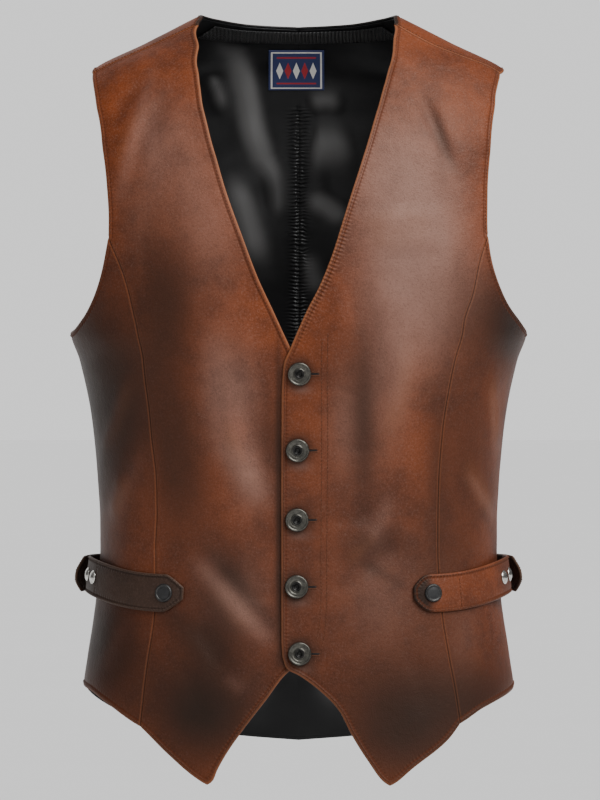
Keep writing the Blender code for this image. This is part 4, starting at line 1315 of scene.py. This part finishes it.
def dress_facing(look):
    """Make the gathered facing round the back neck."""
    angles = np.linspace(FACING_END_ANGLE, -180 - FACING_END_ANGLE, FACING_COLUMNS)
    neck = curve_through([place.angle for place in BACK_NECK], [place.height for place in BACK_NECK])
    heights = neck(np.where(angles < -90, -180 - angles, angles)) - LINING_INSET
    shares = np.linspace(1, 0, FACING_ROWS)
    places = np.stack([np.stack([angles, heights - FACING_HEIGHT * share], axis=-1) for share in shares])
    run = plain_form(places[..., 0], places[..., 1], LEFT)[..., 0]
    middle = 4 * shares[:, None] * (1 - shares[:, None])
    sway = RIB_SWAY * np.sin(run / RIB_SWAY_LENGTH)
    rib = RIB_DEPTH * np.sin(run * 2 * math.pi / RIB_PITCH + sway)
    rib = rib * (RIB_END_SHARE + (1 - RIB_END_SHARE) * middle)
    outer = layer(places, LEFT, -TRIM_DEPTH)
    inner = layer(places, LEFT, -TRIM_DEPTH - FACING_WALL - rib - FACING_BULGE * middle)
    values = {
        "ribs": RIB_GREY * rib / RIB_DEPTH,
        "fold": np.full(rib.shape, FACING_GREY),
        "gather": np.zeros(rib.shape),
    }
    stand_for(add_shell("neck_facing_satin", outer, inner, values, [look]), "neck_facing")


def dress_label(look):
    """Make the plain label below the neck facing, a little thicker in its middle."""
    across = np.linspace(-1, 1, LABEL_COLUMNS)
    down = np.linspace(-1, 1, LABEL_ROWS)
    middle_height = (LABEL_TOP + LABEL_BOTTOM) / 2
    half_height = (LABEL_TOP - LABEL_BOTTOM) / 2
    places = np.array([
        [(-angle_of(LABEL_MIDDLE + a * LABEL_WIDTH / 2, height), height) for a in across]
        for height in middle_height + down * half_height
    ])
    across, down = np.meshgrid(across, down)
    rim = np.maximum(np.abs(across), np.abs(down))
    outer = layer(places, LEFT, -TRIM_DEPTH)
    inner = layer(places, LEFT, -TRIM_DEPTH - LABEL_WALL * LABEL_RIM_SHARE - LABEL_PILLOW * (1 - rim**6))
    piece = add_shell("label_plain", outer, inner, {"across": across, "down": down}, [look])
    stand_for(piece, "label")


def strip_middle(angle):
    """Return the height of an adjuster's middle line at an angle."""
    share = ease((TAB_ANGLE - angle) / TAB_ANGLE)
    return TAB_FRONT_HEIGHT + (TAB_SIDE_HEIGHT - TAB_FRONT_HEIGHT) * share


def strap_middle(angle):
    """Return the height of a strap's middle line at an angle; its free end droops."""
    share = ease((angle - STRAP_TIP_ANGLE) / STRAP_DROOP_SPAN + 1)
    return strip_middle(angle) - STRAP_DROOP * share


def tab_lift(angle):
    """Return how far a tab's inner face stands off the body at an angle."""
    return TAB_SEAT + TAB_STAND_OFF * ease((TAB_LEAVE_ANGLE - angle) / TAB_LEAVE_ANGLE)


def strap_lift(angle):
    """Return how far a strap's inner face stands off the body at an angle."""
    over_tab = tab_lift(angle) + TAB_WALL + STRAP_GAP
    flare = STRAP_FLARE * ease((angle - STRAP_FLARE_START) / STRAP_FLARE_SPAN)
    rise = ease((angle - STRAP_ROOT_ANGLE) / (STRAP_FREE_ANGLE - STRAP_ROOT_ANGLE))
    return TAB_SEAT + (over_tab - TAB_SEAT) * rise + flare


def tab_surface(angle, height, side):
    """Return points on a tab's outer face."""
    return layer(np.stack([angle, height], axis=-1), side, tab_lift(angle) + TAB_WALL)


STRIP_COLUMNS = 150
STRIP_ROWS = (0.0, 0.02, 0.05, 0.09, 0.13, 0.18, 0.23, 0.29, 0.36, 0.43, 0.5)
STRIP_STITCH = 2.9
STRIP_CROWDING = 1.7
STRIP_BUMPS = (Bump(0.3, 1.6, 0.9), Bump(-0.35, STRIP_STITCH, 0.6))
# A strip's middle stands this high, from a distance in from its edge and over a span
STRIP_CROWN = 0.3
STRIP_CROWN_START = 4.0
STRIP_CROWN_SPAN = 6.0
STRIP_BLOOM = 0.12
STRIP_CREST = 0.25
STRIP_CREST_SCALE = 2.5
# The cross seam of a tab, and the garment's rough radius beside it
CROSS_SEAM_BUMPS = (Bump(-0.35, 0.0, 0.8), Bump(0.2, 2.2, 1.2))
CROSS_SEAM_RADIUS = 115.0
CROSS_SEAM_POINTS = 9
CROSS_SEAM_MARGIN = 3.2
# The burnish of the tan tab, and how much more there is past an angle towards its tip
TAN_BURNISH = 0.22
TIP_BURNISH = 0.75
TIP_BURNISH_ANGLE = 52.5
TIP_BURNISH_SPAN = 5.0
# An edge is sewn along no more than about this many of its points
SEWN_POINTS = 60


def strip_places(tip_angle, far_angle, tip, middle):
    """Return a fine grid along an adjuster strip, with columns crowded towards its tip."""
    steps = np.linspace(0, 1, STRIP_COLUMNS)
    angles = tip_angle + (far_angle - tip_angle) * steps**STRIP_CROWDING
    near = np.clip((tip_angle - angles) / tip.span, 0, 1)
    half_widths = TAB_HALF_WIDTH * (tip.end_share + (1 - tip.end_share) * (1 - (1 - near) ** tip.roundness))
    shares = np.array(STRIP_ROWS + tuple(1 - share for share in STRIP_ROWS[-2::-1]))
    across = 2 * shares - 1
    heights = middle(angles)[None, :] + across[:, None] * half_widths[None, :]
    return np.stack([np.broadcast_to(angles, heights.shape), heights], axis=-1)


def outline_of(points):
    """Return the four edges of a grid of points as lines."""
    return [points[0], points[-1], points[:, 0], points[:, -1]]


def dress_strip(name, side, places, lift, look, slot, seam_angle=None):
    """Make one adjuster strip, rounded along its edges and pressed in under its stitches.

    Return the search tree of its face and the lines of its edges.
    """
    base = layer(places, side, lift)
    trim, run = nearest_line(base, outline_of(base))
    fold = rounding(trim)
    crown = STRIP_CROWN * ease((trim - STRIP_CROWN_START) / STRIP_CROWN_SPAN)
    face = fold + bumps(trim, *STRIP_BUMPS) + crown
    if seam_angle is not None:
        face = face + bumps(np.radians(places[..., 0] - seam_angle) * CROSS_SEAM_RADIUS, *CROSS_SEAM_BUMPS)
    outer = layer(places, side, lift + TAB_WALL + face)
    inner = layer(places, side, lift - fold)
    values = {
        "trim": trim + STITCH_INSET - STRIP_STITCH,
        "run": run,
        "seam": np.full(trim.shape, FAR_OFF),
        "crest": STRIP_CREST * uneven(base * STRIP_CREST_SCALE),
        "burnish_and_shade": np.zeros(trim.shape),
        "bloom": np.full(trim.shape, STRIP_BLOOM),
        "tuck": np.zeros(trim.shape),
    }
    if slot == "tab_leather_tan":
        towards_tip = ease((places[..., 0] - TIP_BURNISH_ANGLE) / TIP_BURNISH_SPAN)
        values["burnish_and_shade"] = TAN_BURNISH + TIP_BURNISH * towards_tip
    stand_for(add_shell(f"{name}_leather", outer, inner, values, [look]), name)
    return skin_of(outer), [line[:: max(1, len(line) // SEWN_POINTS)] for line in outline_of(outer)]


SEAT_CHECKS = 12


def seat_on(surface, angle, height, side, radius):
    """Return the lowest seat and its normal for a round piece on a surface."""
    point = surface(np.array(angle, float), np.array(height, float), side)
    normal = normals_by(surface, np.array(angle, float), np.array(height, float), side)
    turn = math.degrees(radius / float(front_depth(height)))
    rise = 0.0
    for round_about in np.linspace(0, 2 * math.pi, SEAT_CHECKS, endpoint=False):
        near_angle = np.array(angle + turn * math.cos(round_about))
        near_height = np.array(height + radius * math.sin(round_about))
        near = surface(near_angle, near_height, side)
        rise = max(rise, float((near - point) @ normal))
    return point + normal * (rise + LAYER_GAP), normal


def add_turned(name, node, outline, seat, looks, ring=None):
    """Turn an outline round an axis on a seat; faces between the ring's radii take the second look."""
    turn = np.linspace(0, 2 * math.pi, TURN_STEPS, endpoint=False)
    spin = np.stack([np.cos(turn), np.sin(turn), 0 * turn], axis=-1)
    up = np.array([0.0, 0.0, 1.0])
    places = [np.array([up * outline[0][1]])]
    for radius, height in outline[1:-1]:
        places.append(spin * radius + up * height)
    places.append(np.array([up * outline[-1][1]]))
    faces = []
    chosen = []
    last = len(outline) - 1
    start = [0] + [1 + TURN_STEPS * i for i in range(last)]
    for i in range(last):
        for k in range(TURN_STEPS):
            ahead = (k + 1) % TURN_STEPS
            if i == 0:
                face = (0, start[1] + k, start[1] + ahead)
            elif i == last - 1:
                face = (start[i] + k, start[last], start[i] + ahead)
            else:
                face = (start[i] + k, start[i + 1] + k, start[i + 1] + ahead, start[i] + ahead)
            faces.append(face)
            middle = (outline[i][0] + outline[i + 1][0]) / 2
            chosen.append(int(ring is not None and ring[0] < middle < ring[1] and outline[i][1] > 1))
    point, normal = seat
    turned = Vector(normal).to_track_quat("Z", "Y").to_matrix()
    points = np.concatenate(places) @ np.array(turned).T + point
    piece = add_mesh(name, points, faces, looks, chosen)
    stand_for(piece, node)


# Rings along a stitch: how far from its middle, how thick and how high
THREAD_RINGS = (
    (-1.0, 0.35, -0.30), (-0.72, 0.9, 0.0), (0.0, 1.0, 0.12), (0.72, 0.9, 0.0), (1.0, 0.35, -0.30),
)
THREAD_SIDES = 6
THREAD_LIFT = 0.06


def tube_faces(base, rings, around, outward=True):
    """Return the faces of a tube and its two ends, for rings of points numbered from a base."""
    faces = []
    for ring in range(rings - 1):
        first = base + ring * around
        for k in range(around):
            ahead = (k + 1) % around
            a, b, c, d = first + k, first + around + k, first + around + ahead, first + ahead
            faces.append((a, b, c, d) if outward else (a, d, c, b))
    start = tuple(range(base, base + around))
    end = tuple(point + (rings - 1) * around for point in start)
    return faces + [start, end[::-1]] if outward else faces + [start[::-1], end]


def add_stitches(name, rows, look):
    """Join rows of stitches, each a short bulged thread that dips in at both ends."""
    points = []
    faces = []
    for centres, along, normals in rows:
        for centre, direction, normal in zip(centres, along, normals):
            side_way = np.cross(normal, direction)
            base = len(points)
            for reach, width, rise in THREAD_RINGS:
                middle = centre + direction * reach * STITCH_LENGTH / 2 + normal * (rise + THREAD_LIFT)
                for k in range(THREAD_SIDES):
                    turn = 2 * math.pi * k / THREAD_SIDES
                    spoke = side_way * math.cos(turn) + normal * math.sin(turn)
                    points.append(middle + spoke * STITCH_RADIUS * width)
            faces += tube_faces(base, len(THREAD_RINGS), THREAD_SIDES)
    add_mesh(name, points, faces, [look])


# How many times a row's directions are smoothed, and how far off its middle the panel is looked for
SMOOTHINGS = 3
PROBE_REACH = 6.0


def on_skin(skin, points):
    """Return the nearest places on a skin, and its normals there."""
    hits = [skin.find_nearest(Vector(point)) for point in points]
    return np.array([hit[0][:] for hit in hits]), np.array([hit[1][:] for hit in hits])


def sew_along(skin, line, inset, ends=(0.0, 0.0)):
    """Return a row of stitches on a panel's face, set in from a line by a distance."""
    length = run_along(line)
    points = at_runs(np.arange(ends[0], length[-1] - ends[1], 1.0), length, line)
    along = np.gradient(points, axis=0)
    for _ in range(SMOOTHINGS):
        along[1:-1] = (along[:-2] + along[1:-1] + along[2:]) / 3
    normals = on_skin(skin, points)[1]
    middle = len(points) // 2
    if normals[middle][:2] @ points[middle][:2] < 0:
        normals = -normals
    inward = np.cross(normals, unit(along))
    probes = [Vector(points[middle] + sign * PROBE_REACH * inward[middle]) for sign in (1, -1)]
    ahead, behind = (skin.find_nearest(probe)[3] for probe in probes)
    if behind < ahead:
        inward = -inward
    places, found = on_skin(skin, points + inward * inset)
    normals = np.where((found * normals).sum(axis=1, keepdims=True) > 0, found, -found)
    length = run_along(places)
    even = np.arange(STITCH_PITCH / 2, length[-1], STITCH_PITCH)
    normals = unit(at_runs(even, length, normals))
    along = at_runs(even + 1, length, places) - at_runs(even - 1, length, places)
    along -= (along * normals).sum(axis=1, keepdims=True) * normals
    return at_runs(even, length, places), unit(along), normals


# The double row beside the buttonholes, as widths and heights on the left front
PLACKET_ROWS = (
    [(20.6, -262), (20.2, -380), (19.8, -480), (18.4, -512), (14.6, -530)],
    [(25.6, -259), (25.4, -380), (24.8, -480), (23.4, -514), (18.8, -536), (12.6, -546)],
)
# How far the rows lie from the seams of the backs
BACK_SEAM_INSET = 2.6


def sew_panels(fronts, sides, backs, look):
    """Sew the rows beside every turned edge, the placket and the seams of the backs."""
    for side in (LEFT, RIGHT):
        name = SIDE_NAMES[side]
        opening, hem, armhole = front_rolls(side)
        rows = [
            sew_along(fronts[side], opening, STITCH_INSET, (STITCH_INSET, 1)),
            sew_along(fronts[side], hem, STITCH_INSET, (STITCH_INSET, 1)),
            sew_along(fronts[side], armhole, STITCH_INSET, (1, 1)),
        ]
        if side == LEFT:
            for row in PLACKET_ROWS:
                heights = [height for _, height in row]
                angles = [angle_of(out, height) for out, height in row]
                rows.append(sew_along(fronts[side], line_points(list(zip(angles, heights)), side), 0.0))
        add_stitches(f"stitches_front_{name}", rows, look)
        rows = [sew_along(sides[side], line, STITCH_INSET, (1, 1)) for line in side_rolls(side)]
        add_stitches(f"stitches_side_{name}", rows, look)
        hem, neck, armhole = back_rolls(side)
        lower, upper, _, _, _, shoulder = back_lines(side)
        rows = [sew_along(backs[side], line, STITCH_INSET, (1, 1)) for line in (hem, neck, armhole)]
        for line in (lower, upper, shoulder):
            rows.append(sew_along(backs[side], line_points(line, side), BACK_SEAM_INSET, (1, 1)))
        add_stitches(f"stitches_back_{name}", rows, look)


# Each slit runs from beside its button's middle to the end of the hole
HOLE_START = 2.0
HOLE_END = 17.5
HOLE_WIDTH = 1.5
HOLE_END_SHARE = 0.02
HOLE_STEPS = 24
# The slit's cross-section, as shares of its half width and heights
HOLE_PROFILE = ((1, 0.02), (0.6, 0.10), (-0.6, 0.10), (-1, 0.02), (0, -0.25))
# The stitches keep this far from the slit and start past the button, at this step
HOLE_STITCH_OFF = 1.5
HOLE_STITCH_STEP = 8


def add_buttonholes(skin, slit_shade_look, thread_look):
    """Cut look-alike slits to the right of each button, black as painted shade in each hole, edged with a row
    of stitches on both sides.
    """
    rows = []
    points = []
    faces = []
    for button in BUTTONS:
        outs = np.linspace(button.out + HOLE_START, button.out + HOLE_END, HOLE_STEPS)
        angles = [angle_of(out, button.height) for out in outs]
        line = plain_form(np.array(angles), np.full(HOLE_STEPS, button.height), LEFT)
        places, normals = on_skin(skin, line)
        normals = np.where(normals[:, 1:2] < 0, normals, -normals)
        along = unit(np.gradient(places, axis=0))
        up = np.cross(normals, along)
        shares = np.linspace(-1, 1, HOLE_STEPS)
        width = HOLE_WIDTH / 2 * np.sqrt(np.clip(1 + HOLE_END_SHARE - shares**8, HOLE_END_SHARE, 1))
        faces += tube_faces(len(points), HOLE_STEPS, len(HOLE_PROFILE), outward=False)
        for place, normal, rise, half in zip(places, normals, up, width):
            for sideways, lift in HOLE_PROFILE:
                points.append(place + rise * half * sideways + normal * lift)
        sewn = slice(HOLE_STITCH_STEP, None, 2)
        for sign in (1, -1):
            rows.append((places[sewn] + sign * up[sewn] * HOLE_STITCH_OFF, along[sewn], normals[sewn]))
    add_mesh("buttonhole_slits", points, faces, [slit_shade_look], smooth=False)
    add_stitches("stitches_buttonholes", rows, thread_look)


def dress_adjusters(dark, tan, thread_dark, thread_tan, snap_looks, stud_look):
    """Dress the tabs and straps, sew their edges, and set their snaps and studs."""
    for side in (LEFT, RIGHT):
        name = SIDE_NAMES[side]
        look, slot, thread_look = dark, "tab_leather_dark", thread_dark
        if side == LEFT:
            look, slot, thread_look = tan, "tab_leather_tan", thread_tan
        places = strip_places(TAB_TIP_ANGLE, TAB_REAR_ANGLE, TAB_TIPS[side], strip_middle)
        lift = tab_lift(places[..., 0])
        tab, lines = dress_strip(f"tab_{name}", side, places, lift, look, slot, TAB_SEAM_ANGLES[side])
        ends = (STRIP_STITCH, STRIP_STITCH)
        rows = [sew_along(tab, line, STRIP_STITCH, ends) for line in lines[:3]]
        seam_angle = TAB_SEAM_ANGLES[side]
        heights = np.linspace(-1, 1, CROSS_SEAM_POINTS) * (TAB_HALF_WIDTH - CROSS_SEAM_MARGIN)
        heights = heights + float(strip_middle(seam_angle))
        cross = tab_surface(np.full(CROSS_SEAM_POINTS, seam_angle), heights, side)
        rows.append(sew_along(tab, cross, 0.0))
        add_stitches(f"stitches_tab_{name}", rows, thread_look)

        places = strip_places(STRAP_TIP_ANGLE, STRAP_ROOT_ANGLE, STRAP_TIP, strap_middle)
        lift = strap_lift(places[..., 0])
        strap, lines = dress_strip(f"strap_{name}", side, places, lift, dark, "tab_leather_dark")
        rows = [sew_along(strap, line, STRIP_STITCH, ends) for line in lines[:2] + lines[3:]]
        add_stitches(f"stitches_strap_{name}", rows, thread_dark)

        middle = float(strip_middle(SNAP_ANGLE))
        seat = seat_on(tab_surface, SNAP_ANGLE, middle, side, SNAP_RADIUS)
        add_turned(f"snap_{name}_cap", f"snap_{name}", SNAP_OUTLINE, seat, snap_looks, SNAP_RING)
        for number, angle in enumerate(STUD_ANGLES, 1):
            middle = float(strip_middle(angle))
            seat = seat_on(tab_surface, angle, middle, side, STUD_RADIUS)
            node = f"stud_{name}_{number}"
            add_turned(f"{node}_dome", node, STUD_OUTLINE, seat, [stud_look])


def dress_buttons(looks):
    """Set the ringed metal buttons down the front edge."""
    for number, button in enumerate(BUTTONS, 1):
        angle = angle_of(button.out, button.height)
        seat = seat_on(cloth_form, angle, button.height, LEFT, BUTTON_RADIUS)
        node = f"button_{number}"
        add_turned(f"{node}_ringed", node, BUTTON_OUTLINE, seat, looks, BUTTON_MIDDLE)


# The cut sizes of the cloth pieces: width, length and area in metres and square metres
Cut = namedtuple("Cut", "width length area")


def aim(light, position, target):
    """Place a light and turn it towards a point."""
    light.location = position
    light.rotation_mode = "QUATERNION"
    light.rotation_quaternion = (Vector(target) - Vector(position)).to_track_quat("-Z", "Y")


CAMERA_PLACE = (0.0013, -5.0, -0.316)
CAMERA_LENS = 252.8
CAMERA_SENSOR = 36.0
CAMERA_FAR_END = 100.0
# The lights: where each stands, how strong it is and how many degrees wide
Lamp = namedtuple("Lamp", "place energy spread")
LAMPS = {
    "key_light": Lamp((2.4, -2.7, 3.6), 4.6, 45),
    "fill_light": Lamp((-3.0, -3.6, 1.0), 0.3, 60),
    "back_light": Lamp((-1.6, 4.0, 1.4), 0.6, 60),
}
LIT_POINT = (0, 0, -0.3)
FLOOR_HEIGHT = -0.78
FLOOR_REACH = 60.0
FLOOR_CORNERS = ((-1, -1), (1, -1), (1, 1), (-1, 1))
SKY_LOW = 0.04
SKY_HIGH = 0.32
SKY_SEEN = 1.06


def add_camera():
    """Make the level camera that the photo was taken by."""
    camera = bpy.data.objects.new("camera", bpy.data.cameras.new("camera"))
    camera.data.lens = CAMERA_LENS
    camera.data.sensor_width = CAMERA_SENSOR
    camera.location = CAMERA_PLACE
    camera.rotation_euler = (math.pi / 2, 0, 0)
    camera.data.clip_end = CAMERA_FAR_END
    bpy.context.scene.collection.objects.link(camera)
    bpy.context.scene.camera = camera


def add_lights():
    """Make the soft lights."""
    for name, lamp in LAMPS.items():
        light = bpy.data.objects.new(name, bpy.data.lights.new(name, "SUN"))
        light.data.energy = lamp.energy
        light.data.angle = math.radians(lamp.spread)
        aim(light, lamp.place, LIT_POINT)
        bpy.context.scene.collection.objects.link(light)


def add_surroundings():
    """Make the pale sky: even where the camera sees it, and brighter above than below as a light."""
    world = bpy.data.worlds.new("studio")
    bpy.context.scene.world = world
    world.use_nodes = True
    tree = world.node_tree
    sky = tree.nodes["Background"]
    sky.inputs["Color"].default_value = (1.0, 1.0, 1.0, 1.0)
    place = tree.nodes.new("ShaderNodeTexCoord")
    parts = tree.nodes.new("ShaderNodeSeparateXYZ")
    rise = tree.nodes.new("ShaderNodeMapRange")
    for key, value in (("From Min", -0.1), ("From Max", 0.9), ("To Min", SKY_LOW), ("To Max", SKY_HIGH)):
        rise.inputs[key].default_value = value
    path = tree.nodes.new("ShaderNodeLightPath")
    seen = tree.nodes.new("ShaderNodeMix")
    seen.inputs["B"].default_value = SKY_SEEN
    tree.links.new(place.outputs["Generated"], parts.inputs[0])
    tree.links.new(parts.outputs["Z"], rise.inputs["Value"])
    tree.links.new(path.outputs["Is Camera Ray"], seen.inputs["Factor"])
    tree.links.new(rise.outputs[0], seen.inputs["A"])
    tree.links.new(seen.outputs["Result"], sky.inputs["Strength"])


def add_floor():
    """Make the plain pale floor."""
    mesh = bpy.data.meshes.new("floor")
    corners = [(x * FLOOR_REACH, y * FLOOR_REACH, FLOOR_HEIGHT) for x, y in FLOOR_CORNERS]
    mesh.from_pydata(corners, [], [(0, 1, 2, 3)])
    look = Look("floor", Roughness=0.9)
    pale = look.mix(look.noise(3.0, 2.0), (0.70, 0.70, 0.70, 1.0), (0.72, 0.72, 0.72, 1.0))
    mesh.materials.append(look.paint(Base_Color=pale))
    floor = bpy.data.objects.new("floor", mesh)
    bpy.context.scene.collection.objects.link(floor)


def main():
    """Set the stage and dress the vest."""
    add_camera()
    add_lights()
    add_surroundings()
    add_floor()
    hide = leather("leather", BROWN)
    dark = leather("dark_leather", DARK_BROWN)
    tan = leather("tan_leather", BROWN)
    black = satin("black_satin")
    tan_thread = thread("tan_thread", (0.130, 0.040, 0.014, 1), (0.050, 0.017, 0.008, 1))
    dark_thread = thread("dark_thread", (0.080, 0.045, 0.030, 1), (0.030, 0.018, 0.012, 1))
    gunmetal = metal("gunmetal", (0.130, 0.125, 0.108, 1), (0.060, 0.057, 0.050, 1), 0.30)
    dark_metal = metal("dark_metal", (0.040, 0.038, 0.036, 1), (0.010, 0.010, 0.010, 1), 0.35)
    ring_metal = metal("ring_metal", (0.075, 0.073, 0.070, 1), (0.030, 0.029, 0.028, 1), 0.34)
    lacquer = metal("lacquer", (0.016, 0.016, 0.017, 1), (0.007, 0.007, 0.007, 1), 0.40, 0.2)
    nickel = metal("nickel", (0.800, 0.780, 0.740, 1), (0.420, 0.400, 0.370, 1), 0.16, 1.0)
    # Black satin for the slits, painted shade in each buttonhole
    slit_shade = satin("slit")

    fronts = dress_fronts([hide, black])
    sides = dress_sides([hide, black])
    backs = dress_backs([hide, black])
    dress_linings(black)
    dress_facing(black)
    dress_label(woven_label("label"))
    dress_adjusters(dark, tan, dark_thread, tan_thread, [lacquer, ring_metal], nickel)
    dress_buttons([gunmetal, dark_metal])
    sew_panels(fronts, sides, backs, tan_thread)
    add_buttonholes(fronts[LEFT], slit_shade, tan_thread)


main()
